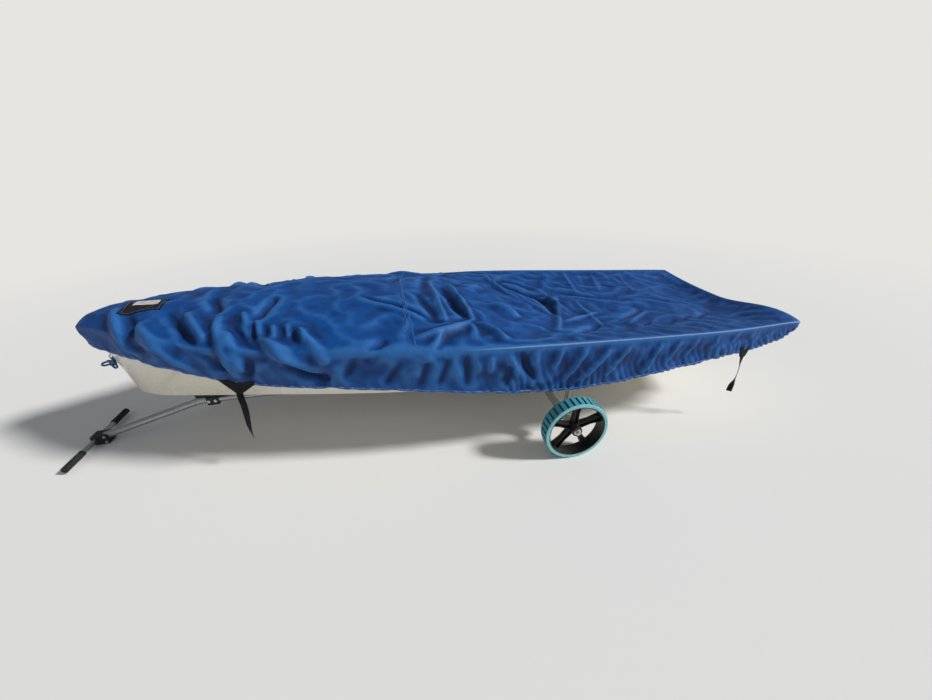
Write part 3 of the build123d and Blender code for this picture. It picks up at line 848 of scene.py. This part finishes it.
def raised_stern(places, form):
    """How far the cloth stands above its form at the transom, where it spans from corner to middle."""
    share = np.clip(places[:, 1] / STERN_HALF, 0, 1)
    ahead = np.clip((places[:, 0] - form.low.x) / STERN_LENGTH, 0, None)
    return STERN_RISE * STERN_PEAK * share ** 2 * (1 - share) * np.exp(-ahead ** 2)


def edge_ends(mesh):
    """The two points of each of the mesh's edges."""
    return read(mesh.edges, "vertices", 2, int).T


def averager(mesh):
    """Function that gives, for vectors at the mesh's points, the mean of each point's neighbours."""
    first, second = edge_ends(mesh)
    size = len(mesh.vertices)
    count = np.bincount(np.concatenate([first, second]), minlength=size)[:, None]

    def mean(vectors):
        totals = [np.bincount(first, axis[second], size) + np.bincount(second, axis[first], size)
                  for axis in vectors.T]
        return np.stack(totals, axis=1) / count

    return mean


def room_below(mesh, places):
    """How far each point may sink before the cloth comes near the hull or its flange."""
    tree = surface_tree(NODES["hull"].data)
    away = np.array([tree.find_nearest(Vector(place))[3] for place in places])
    room = np.clip(away - HULL_GAP, 0, DEEPEST)
    first, second = edge_ends(mesh)
    more = ROOM_SLOPE * np.linalg.norm(places[first] - places[second], axis=1)
    for _ in range(ROOM_STEPS):
        np.minimum.at(room, first, room[second] + more)
        np.minimum.at(room, second, room[first] + more)
    return room


def near_form(moved, normals, tight, room):
    """Keeps the cloth's moves clear of the hull, and holds it in place where it is tight."""
    out = np.sum(moved * normals, axis=1)
    aside = moved - out[:, None] * normals
    out = np.clip(out * (1 - tight), -room, HIGHEST)
    return out[:, None] * normals + aside * (1 - tight)[:, None]


def slackness(places):
    """How slack the gunwale's crease is: 0 aft, where it is stretched tight, and 1 forward."""
    return np.clip((places[:, 0] - EASE_FROM) / EASE_OVER, 0, 1)


def eased_crease(mesh, places, normals, near):
    """Rounds the gunwale's crease where it is slack, as far as the hull leaves room."""
    mean = averager(mesh)
    ease = EASE_MOST * slackness(places) * np.clip(EASE_REACH * near, 0, 1)
    eased = places
    for _ in range(EASE_STEPS):
        eased = eased + ease[:, None] * (mean(eased) - eased)
    return places + near_form(eased - places, normals, np.zeros(len(places)), room_below(mesh, places))


def crumples(flat):
    """Height of the small sharp creases that folding left all over the cloth."""
    heights = []
    for x, y in flat:
        place = Vector((x + 0.5 * y, y - 0.4 * x, 3.0)) / CRUMPLE_SIZE
        broad = abs(noise.noise(place))
        fine = abs(noise.noise(place * CRUMPLE_FINER + Vector((7, 3, 1))))
        heights.append(CRUMPLE_MEAN - CRUMPLE_BROAD * broad - CRUMPLE_FINE * fine)
    return CRUMPLE_HIGH * np.array(heights)


def relief(mesh, places, normals):
    """How far each point stands out from the cloth around it, as a share from -1 to 1, which sets the painted
    shade in the cloth's hollows and the painted highlight on its crests.
    """
    mean = averager(mesh)
    level = places
    for _ in range(RELIEF_STEPS):
        level = mean(level)
    return np.clip(np.sum((places - level) * normals, axis=1) / RELIEF, -1, 1)


def ruffles(places, depth):
    """Height of the fine ruffles that the hem's elastic gathers along the skirt aft."""
    heights = []
    for (x, y, z), down in zip(places, depth):
        aft = min(max((RUFFLE_FROM - x) / RUFFLE_OVER, 0), 1)
        sway = noise.noise(Vector((x * SWAYS_A_METRE, y * SWAYS_A_METRE, z * SWAYS_A_METRE)))
        along = x + RUFFLE_ACROSS * abs(y) + RUFFLE_LEAN * down
        phase = 2 * pi * along / RUFFLE_SPACING + RUFFLE_SWAY * sway
        tall = RUFFLE_LEAST + RUFFLE_MORE * abs(sway)
        heights.append(aft * down ** RUFFLE_POWER * tall * sin(phase))
    return RUFFLE_HIGH * np.array(heights)


def fullness_shares(places, depth):
    """Share of the most fullness at each point: more towards the hem and the bow, and patchy in between."""
    shares = []
    for (x, y, z), down in zip(places, depth):
        patch = noise.noise(Vector((x * PATCHES_ALONG, y * PATCHES_ACROSS, z * PATCHES_ACROSS + 7)))
        forward = min(max((x - SLACK_AFT) / (SLACK_AHEAD - SLACK_AFT), 0), 1)
        least, gain, patchy = SKIRT_FULLNESS if down > 0 else TOP_FULLNESS
        share = least + gain * (down if down > 0 else forward) + patchy * patch
        shares.append(min(max(share, 0.0), 1.0))
    return shares


def weigh(piece, name, shares):
    """Gives the piece a vertex group with a share at each point."""
    group = piece.vertex_groups.new(name=name)
    for index, share in enumerate(shares):
        group.add([index], float(share), "REPLACE")


def settle_cloth(piece, sizes):
    """Lets the cloth settle, held softly to its form and a little longer than it, so that it buckles."""
    cloth = piece.modifiers.new("cloth", "CLOTH")
    rules = {
        "quality": 6, "mass": 0.15, "tension_stiffness": 25, "compression_stiffness": 25,
        "shear_stiffness": 10, "bending_stiffness": sizes.bending, "air_damping": 3,
        "pin_stiffness": sizes.hold, "vertex_group_mass": "held", "vertex_group_shrink": "gathered",
        "shrink_min": -sizes.fullness, "shrink_max": -sizes.hem_fullness,
    }
    for name, value in rules.items():
        setattr(cloth.settings, name, value)
    cloth.settings.effector_weights.gravity = 0.0
    cloth.collision_settings.use_collision = False
    cloth.point_cache.frame_start = 1
    cloth.point_cache.frame_end = sizes.frames
    scene = bpy.context.scene
    for step in range(1, sizes.frames + 1):
        scene.frame_set(step)
    apply_modifiers(piece)
    scene.frame_set(1)


class CoverSizes(bpy.types.PropertyGroup):
    """Sizes and colour of the boat cover's cloth."""

    colour: shade("Colour", "Colour of the cloth where it has faded", "0a4e97")
    cell: length("Cell", "Spacing of the cloth's grid", 0.0185)
    fullness: FloatProperty(
        name="Fullness", description="Share by which the cloth is longer than its form where tightest",
        default=0.005, subtype="FACTOR")
    hem_fullness: FloatProperty(
        name="Hem fullness", description="Share by which the cloth is longer than its form where fullest",
        default=0.14, subtype="FACTOR")
    frames: IntProperty(name="Frames", description="Steps that the cloth settles for", default=30)
    bending: FloatProperty(name="Bending", description="Stiffness of the cloth when it bends", default=0.25)
    hold: FloatProperty(
        name="Hold", description="Stiffness of the springs that keep the cloth near its form", default=0.6)


class DINGHY_OT_cover(bpy.types.Operator):
    """Drapes the cloth cover over deck and gunwales, and lets it settle into folds"""

    bl_idname = "dinghy.cover"
    bl_label = "Boat cover"

    def execute(self, context):
        sizes = context.scene.dinghy_cover
        form = CoverForm()
        columns = round((form.high.x - form.low.x) / sizes.cell)
        points, faces, flat, depth, crease = cover_grid(form, columns, round(form.high.y / sizes.cell))
        piece = mesh_piece("cover_cloth", points, faces, coated_polyester(sizes.colour), flat)
        mesh = piece.data
        plain, normals = places_of(mesh), normals_of(mesh)
        store(mesh, "depth", depth)
        store(mesh, "form", plain)
        edge = plain[crease]
        near = nearness(plain, edge)
        view = PhotoView(context.scene.dinghy_stage)
        lift = fold_heights(plain, form, view) + crumples(flat) * (1 - near)
        tight = near * (1 - slackness(plain))
        plain[:, 2] += raised_stern(plain, form)
        plain = eased_crease(mesh, plain, normals, near)
        room = room_below(mesh, plain)
        set_places(mesh, plain + near_form(normals * lift[:, None], normals, tight, room))
        firm = HELD_LEAST + (1 - HELD_LEAST) * tight ** 2 + HELD_EDGE * (near - tight)
        weigh(piece, "held", np.where(depth == 1, 1.0, firm))
        weigh(piece, "gathered", fullness_shares(plain, depth))
        settle_cloth(piece, sizes)
        mesh = piece.data
        set_places(mesh, plain + near_form(places_of(mesh) - plain, normals, tight, room))
        finer = piece.modifiers.new("finer", "SUBSURF")
        finer.levels = finer.render_levels = 1
        apply_modifiers(piece)
        mesh = piece.data
        places, normals = places_of(mesh), normals_of(mesh)
        down = read(mesh.attributes["depth"].data, "value", 1).ravel()
        laid = read(mesh.attributes["form"].data, "vector")
        sharp = CREST_SHARE * fold_heights(laid, form, view, CREST_WIDTH)
        near = nearness(laid, np.concatenate([edge, (edge + np.roll(edge, -1, axis=0)) / 2]))
        taut = 1 - slackness(laid)
        room = room_below(mesh, places)
        places = places + near_form(normals * sharp[:, None], normals, near * taut, room)
        places = places + normals * ruffles(places, down)[:, None]
        set_places(mesh, places)
        # The cloth's colour gets painted shade in hollows and painted highlight on crests from this
        store(mesh, "relief", relief(mesh, places, normals))
        # Painted highlight along the gunwale's crease where it is taut
        store(mesh, "crease_highlight", np.clip((near - CREASE_HIGHLIGHT_FROM) / (1 - CREASE_HIGHLIGHT_FROM), 0, 1) * taut)
        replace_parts(piece, "cover")
        return {"FINISHED"}


# Sewn parts of the cover


def hem_loop(mesh):
    """The points along the cloth's free edge, in order."""
    shell = bmesh.new()
    shell.from_mesh(mesh)
    ahead = {}
    for edge in shell.edges:
        if len(edge.link_faces) == 1:
            for vert in edge.verts:
                ahead.setdefault(vert.index, []).append(edge.other_vert(vert).index)
    shell.free()
    start = min(ahead)
    loop, last, here = [start], start, ahead[start][0]
    while here != start:
        loop.append(here)
        onward = [index for index in ahead[here] if index != last]
        last, here = here, onward[0]
    return loop


def sewn_patch(name, tree, middle, size, material):
    """Rectangle of fabric that lies on a surface, and its outline a little way in from the edge."""
    long, wide, proud = size
    rows, columns = 10, 16
    points, faces, flat = [], [], []
    for row in range(rows + 1):
        for column in range(columns + 1):
            u, v = (column / columns - 0.5) * long, (row / rows - 0.5) * wide
            above = Vector((middle.x + u, middle.y + v, OVERHEAD))
            hit, normal = tree.ray_cast(above, Vector((0, 0, -1)))[:2]
            points.append(hit + normal * proud)
            flat.append((u, v))
    for row in range(rows):
        for column in range(columns):
            start = row * (columns + 1) + column
            faces.append((start, start + 1, start + columns + 2, start + columns + 1))
    piece = mesh_piece(name, points, faces, material, flat)
    wall = piece.modifiers.new("wall", "SOLIDIFY")
    wall.thickness = 2 * proud
    wall.offset = -1
    rounding = piece.modifiers.new("rounding", "BEVEL")
    rounding.width = 0.4 * proud
    rounding.segments = 1
    apply_modifiers(piece)
    around = [(column, 1) for column in range(1, columns - 1)]
    around += [(columns - 1, row) for row in range(1, rows - 1)]
    around += [(column, rows - 1) for column in range(columns - 1, 1, -1)]
    around += [(1, row) for row in range(rows - 1, 1, -1)]
    return piece, [points[row * (columns + 1) + column] for column, row in around]


def line_mesh(lines):
    """Mesh of plain lines, each a list of points and whether it is closed."""
    points, edges = [], []
    for line, closed in lines:
        start = len(points)
        points += [tuple(place) for place in line]
        edges += [(index, index + 1) for index in range(start, len(points) - 1)]
        if closed:
            edges.append((len(points) - 1, start))
    mesh = bpy.data.meshes.new("lines")
    mesh.from_pydata(points, edges, [])
    return mesh


class SewingSizes(bpy.types.PropertyGroup):
    """Sizes of what is sewn on the cover."""

    binding_width: length("Binding width", "Height of the strip along the hem", 0.016)
    binding_thick: length("Binding thickness", "Thickness of the folded strip", 0.004)
    seam_width: length("Seam width", "Width of the seam across the cover", 0.012)
    spacing: length("Stitch spacing", "From one stitch to the next", 0.011)
    stitch: length("Stitch length", "Thread that shows in a stitch", 0.0075)
    thread: length("Thread radius", "Radius of the sewing thread", 0.0008)


class DINGHY_OT_sewing(bpy.types.Operator):
    """Sews the hem's binding, the seam, the wear patch and its blank label on the cover"""

    bl_idname = "dinghy.sewing"
    bl_label = "Binding, seam and patch"

    def execute(self, context):
        sizes = context.scene.dinghy_sewing
        view = PhotoView(context.scene.dinghy_stage)
        cloth = bpy.data.objects["cover_cloth"]
        tree = surface_tree(cloth.data)
        loop = hem_loop(cloth.data)[::2]
        facing = normals_of(cloth.data)[loop]
        wide, thick = sizes.binding_width, sizes.binding_thick
        hem = places_of(cloth.data)[loop] + (0, 0, wide / 2 - thick)
        sewn = [ribbon("hem_binding", hem, facing, wide, thick, polyester_binding(), True)]
        lines = [(hem + (0, 0, wide / 4) + facing * thick / 2, True)]
        run = smooth_run([hit for hit in (view.meets(tree, mark) for mark in SEAM) if hit], 12)
        for side, name in ((1, "port"), (-1, "starboard")):
            found = [tree.find_nearest(Vector(place * (1, side, 1)))[:2] for place in run]
            middle = np.array([spot + normal * SEAM_PROUD for spot, normal in found])
            turned = np.array([normal for _, normal in found])
            sewn.append(ribbon(f"seam_{name}", middle, turned, sizes.seam_width, SEAM_THICK,
                               cloth.data.materials[0]))
            across = unit(np.cross(unit(np.gradient(middle, axis=0)), turned))
            aside = across * sizes.seam_width * STITCH_ASIDE
            lines += [(middle + way * aside + turned * STITCH_PROUD, False) for way in (-1, 1)]
        webbing = woven_webbing("patch webbing", "0b0b0d", "1a191c")
        patch, outline = sewn_patch("wear_patch", tree, view.meets(tree, PATCH), PATCH_SIZE, webbing)
        lines.append((outline, True))
        on_patch = surface_tree(patch.data)
        label, _ = sewn_patch("blank_label", on_patch, view.meets(tree, LABEL), LABEL_SIZE, label_vinyl())
        thread = stitch_tree(bonded_thread())
        stitches = grown("stitches", line_mesh(lines), thread, {
            "Spacing": sizes.spacing, "Length": sizes.stitch, "Radius": sizes.thread})
        return {"FINISHED"}


# Straps and rope

# Turns are in degrees at evenly spaced places down the strap, and the path is in metres.
Strap = namedtuple("Strap", "node length turns path")
STRAPS = (
    Strap("strap_fore", 0.28, (20, 15, 5, -15, -40, -60), (
        (1.047, 0.4515, 0.497), (1.049, 0.4530, 0.460), (1.046, 0.4560, 0.410), (1.050, 0.4600, 0.350),
        (1.057, 0.4600, 0.290), (1.060, 0.4560, 0.245), (1.058, 0.4530, 0.215))),
    Strap("strap_aft", 0.25, (5, 35, 40, 30, -25, -45), (
        (-1.756, 0.6245, 0.430), (-1.757, 0.6260, 0.395), (-1.760, 0.6300, 0.350), (-1.758, 0.6330, 0.300),
        (-1.752, 0.6310, 0.250), (-1.750, 0.6270, 0.210), (-1.753, 0.6245, 0.180))),
)


class StrapSizes(bpy.types.PropertyGroup):
    """Sizes of the strap ends."""

    width: length("Width", "Width of the webbing", 0.03)
    thick: length("Thickness", "Thickness of the webbing", 0.0026)


class DINGHY_OT_straps(bpy.types.Operator):
    """Hangs the two loose strap ends below the cover's port tabs"""

    bl_idname = "dinghy.straps"
    bl_label = "Strap ends"

    def execute(self, context):
        sizes = context.scene.dinghy_straps
        webbing = woven_webbing("strap webbing")
        for strap in STRAPS:
            run = smooth_run(strap.path, 8)
            share = np.linspace(0, 1, len(run))
            turn = np.radians(np.interp(share, np.linspace(0, 1, len(strap.turns)), strap.turns))
            facing = np.stack([-np.sin(turn), np.cos(turn), np.zeros(len(turn))], axis=1)
            piece = ribbon(f"{strap.node}_end", run, facing, sizes.width, sizes.thick, webbing)
            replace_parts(piece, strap.node)
        return {"FINISHED"}


class KnotSizes(bpy.types.PropertyGroup):
    """Sizes of the rope knotted at the bow."""

    rope: length("Rope radius", "Radius of the rope", 0.0055)
    ball: length("Knot", "Size of the knot's turns", 0.0068)


# Loops of rope beside the knot, in metres from its middle
ROPE_LOOPS = (
    ((-0.016, 0.0, 0.034), (-0.017, 0.014, 0.022), (-0.010, 0.014, 0.004), (-0.006, 0.0, -0.004),
     (-0.010, -0.014, 0.004), (-0.017, -0.014, 0.022)),
    ((0.000, 0.004, 0.006), (0.026, 0.012, 0.010), (0.050, 0.014, -0.002), (0.044, 0.010, -0.016),
     (0.022, 0.004, -0.012), (0.002, 0.002, -0.008)),
    ((-0.004, 0.006, 0.004), (-0.024, 0.018, -0.004), (-0.030, 0.022, -0.024), (-0.016, 0.022, -0.034),
     (0.000, 0.012, -0.022), (0.002, 0.006, -0.008)),
)
KNOT_ABOVE = 0.026
KNOT_POINTS = 18


class DINGHY_OT_knot(bpy.types.Operator):
    """Ties the rope through the bow eye"""

    bl_idname = "dinghy.knot"
    bl_label = "Rope at the bow"

    def execute(self, context):
        sizes = context.scene.dinghy_knot
        low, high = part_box("painter_knot")
        middle = Vector(((low.x + high.x) / 2, 0, low.z + KNOT_ABOVE))
        loops = [[]]
        for step in range(KNOT_POINTS):
            angle = 2 * pi * step / KNOT_POINTS
            loops[0].append(middle + sizes.ball * Vector((
                sin(angle) + 2 * sin(2 * angle), -1.7 * sin(3 * angle), cos(angle) - 2 * cos(2 * angle))))
        loops += [[middle + Vector(place) for place in loop] for loop in ROPE_LOOPS]
        round_rope = {"resolution_u": 8, "bevel_depth": sizes.rope, "bevel_resolution": 3}
        shell = bmesh.new()
        for loop in loops:
            shell.from_mesh(nurbs_mesh(loop, 4, True, **round_rope))
        mesh = bpy.data.meshes.new("bow_rope")
        shell.to_mesh(mesh)
        shell.free()
        turn_outwards(mesh)
        rope = braided_rope(context.scene.dinghy_finishes.rope)
        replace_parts(shown_piece("bow_rope", mesh, rope), "painter_knot")
        return {"FINISHED"}


# Fastenings and finishes


class FasteningSizes(bpy.types.PropertyGroup):
    """Sizes of bolts and screws."""

    bolt: length("Bolt", "Radius of a bolt's head", 0.0065)
    screw: length("Screw", "Radius of a screw's head", 0.0034)


def ends(name, axis, inset):
    """Places a little way in from both ends of a node along an axis."""
    low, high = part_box(name)
    return low[axis] + inset, high[axis] - inset


def fastening_places():
    """Where bolts and screws sit: a node, a point beside it, the way it faces, and whether it is a bolt."""
    places = [("axle_clamp", (AXLE.x, y, 0), (0, 0, 1), True) for y in (-0.018, 0.018)]
    for name, x, inset in (("axle_clamp", ends("axle_clamp", 0, 0.017)[1], 0.017),
                           ("handle_socket", ends("handle_socket", 0, 0.014)[0], 0.012)):
        places += [(name, (x, 0, z), (0, way, 0), True) for z in ends(name, 2, inset) for way in (-1, 1)]
    middle = sum(ends("post_clamp", 2, 0)) / 2
    for x in ends("post_clamp", 0, 0.012):
        places += [("post_clamp", (x, 0, middle), (0, way, 0), True) for way in (-1, 1)]
    for name in ("upright_clamp_port", "upright_clamp_starboard"):
        middle = sum(ends(name, 1, 0)) / 2
        places += [(name, (0, middle, z), (way, 0, 0), True) for z in ends(name, 2, 0.016) for way in (-1, 1)]
    for name in ("gudgeon_lower", "gudgeon_upper"):
        for y in ends(name, 1, 0.0065):
            places += [(name, (0, y, z), (-1, 0, 0), False) for z in ends(name, 2, 0.006)]
    return places + [("bow_eye", (0, 0, z), (1, 0, 0), False) for z in ends("bow_eye", 2, 0.007)]


class DINGHY_OT_fastenings(bpy.types.Operator):
    """Puts bolts through the trolley's clamps and screws in the boat's fittings"""

    bl_idname = "dinghy.fastenings"
    bl_label = "Bolts and screws"

    def execute(self, context):
        sizes = context.scene.dinghy_fastenings
        seats, facings, radii = [], [], []
        for name, place, way, is_bolt in fastening_places():
            way, start = Vector(way), Vector(place)
            low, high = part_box(name)
            for axis in range(3):
                if way[axis]:
                    start[axis] = (high if way[axis] > 0 else low)[axis] + BESIDE * way[axis]
            hit, normal = surface_tree(NODES[name].data).ray_cast(start, -way)[:2]
            if hit is None:
                raise RuntimeError(f"no surface for a fastening on {name} at {place}")
            seats.append(hit)
            facings.append(normal if normal.dot(way) > 0 else -normal)
            radii.append(sizes.bolt if is_bolt else sizes.screw)
        mesh = bpy.data.meshes.new("seats")
        mesh.from_pydata(seats, [], [])
        store(mesh, "facing", facings)
        store(mesh, "size", radii)
        grown("fastenings", mesh, bolt_tree(stainless_steel()), {"Head": 0.75, "Washer": 0.3})
        return {"FINISHED"}


class FinishColours(bpy.types.PropertyGroup):
    """Main colours of the boat and the trolley."""

    hull: shade("Hull", "Colour of the hull's gelcoat", "e2dfd2")
    tyre: shade("Tyre", "Colour of the tyre's foam", "3f9fb0")
    rope: shade("Rope", "Colour of the rope's strands", "3f8fcb")


class DINGHY_OT_finishes(bpy.types.Operator):
    """Gives hull, fittings and trolley their finishes"""

    bl_idname = "dinghy.finishes"
    bl_label = "Finishes"

    def execute(self, context):
        colours = context.scene.dinghy_finishes
        made = {
            "gelcoat": gelcoat(colours.hull), "webbing": woven_webbing(), "rope": braided_rope(colours.rope),
            "black_plastic": moulded_nylon(), "black_rubber": moulded_rubber(),
            "tyre_teal": foam_tyre(colours.tyre), "stainless": stainless_steel(),
            "aluminium_tube": drawn_aluminium(), "cast_bracket": powder_coat(),
        }
        for part in frame["record"]["subparts"]:
            if part["material_slot"] in made:
                for material_slot in NODES[part["node"]].material_slots:
                    material_slot.material = made[part["material_slot"]]
        return {"FINISHED"}


# Stage


class StageSizes(bpy.types.PropertyGroup):
    """Camera and light of the stage."""

    lens: FloatProperty(name="Lens", description="Focal length on a 36 mm sensor, in mm", default=14.02)
    eye: FloatVectorProperty(
        name="Eye", description="Camera's place from the floor below the axle", default=(0.865, 2.167, 1.503))
    turn: FloatVectorProperty(
        name="Turn", description="Camera's rotation in degrees", default=(62.36, 1.39, 168.62))
    key_power: FloatProperty(name="Key light", description="Strength of the key light", default=3.3)
    key_height: FloatProperty(
        name="Key height", description="Key light's angle above the floor, in degrees", default=36)
    fill_power: FloatProperty(name="Fill light", description="Strength of the fill light", default=0.15)
    world: FloatProperty(name="World", description="Strength of the even light all round", default=0.22)


def placed(name, data, place, turn):
    """New object of the stage."""
    item = bpy.data.objects.new(name, data)
    item.location = place
    item.rotation_euler = turn
    bpy.context.scene.collection.objects.link(item)
    return item


def add_light(name, place, power, spread):
    """Broad even lamp that shines from a direction, with soft shadows."""
    data = bpy.data.lights.new(name, "SUN")
    data.energy = power
    data.angle = radians(spread)
    place = Vector(place)
    placed(name, data, place * 5, (-place).to_track_quat("-Z", "Y").to_euler())


class DINGHY_OT_stage(bpy.types.Operator):
    """Sets the floor, the lights and the camera"""

    bl_idname = "dinghy.stage"
    bl_label = "Stage"

    def execute(self, context):
        scene = context.scene
        sizes = scene.dinghy_stage
        scene.view_settings.view_transform = "Standard"
        mesh = bpy.data.meshes.new("floor")
        corners = [(x * FLOOR_HALF, y * FLOOR_HALF, 0) for x, y in ((-1, -1), (1, -1), (1, 1), (-1, 1))]
        mesh.from_pydata(corners, [], [(0, 1, 2, 3)])
        mesh.materials.append(seamless_paper())
        placed("floor", mesh, (0, 0, 0), (0, 0, 0))
        scene.world = bpy.data.worlds.new("studio")
        scene.world.use_nodes = True
        tree = scene.world.node_tree
        even = tree.nodes["Background"]
        even.inputs["Color"].default_value = linear("eef2fa")
        even.inputs["Strength"].default_value = sizes.world
        shown = add_node(tree, "ShaderNodeBackground", {}, {"Color": linear(BACKDROP), "Strength": 1.0})
        seen = add_node(tree, "ShaderNodeLightPath").outputs["Is Camera Ray"]
        surface = tree.nodes["World Output"].inputs["Surface"]
        camera_sees(tree, seen, even.outputs[0], shown.outputs[0], surface)
        up = radians(sizes.key_height)
        add_light("key", (-0.95 * cos(up), 0.32 * cos(up), sin(up)), sizes.key_power, 8)
        add_light("fill", (0.55, 0.80, 0.75), sizes.fill_power, 40)
        camera = bpy.data.cameras.new("camera")
        camera.sensor_width = SENSOR
        camera.lens = sizes.lens
        scene.camera = placed("camera", camera, Vector((AXLE.x, 0, 0)) + Vector(sizes.eye),
                              [radians(angle) for angle in sizes.turn])
        return {"FINISHED"}


class DINGHY_PT_panel(bpy.types.Panel):
    """Lists the dinghy's pieces in the sidebar"""

    bl_label = "Dinghy"
    bl_idname = "DINGHY_PT_panel"
    bl_space_type = "VIEW_3D"
    bl_region_type = "UI"
    bl_category = "Dinghy"

    def draw(self, context):
        for step in STEPS:
            self.layout.operator(step.bl_idname)


STEPS = (DINGHY_OT_stage, DINGHY_OT_straps, DINGHY_OT_finishes, DINGHY_OT_cover, DINGHY_OT_sewing,
         DINGHY_OT_knot, DINGHY_OT_fastenings)
GROUPS = {"dinghy_cover": CoverSizes, "dinghy_sewing": SewingSizes, "dinghy_straps": StrapSizes,
          "dinghy_knot": KnotSizes, "dinghy_fastenings": FasteningSizes, "dinghy_finishes": FinishColours,
          "dinghy_stage": StageSizes}


def register():
    for kind in (*GROUPS.values(), *STEPS, DINGHY_PT_panel):
        bpy.utils.register_class(kind)
    for name, group in GROUPS.items():
        setattr(bpy.types.Scene, name, PointerProperty(type=group))


def unregister():
    for name in GROUPS:
        delattr(bpy.types.Scene, name)
    for kind in (DINGHY_PT_panel, *reversed(STEPS), *reversed(GROUPS.values())):
        bpy.utils.unregister_class(kind)


def main():
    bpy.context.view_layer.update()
    register()
    for step in STEPS:
        operator = getattr(bpy.ops.dinghy, step.bl_idname.split(".")[1])
        operator()


if __name__ == "__main__":
    main()
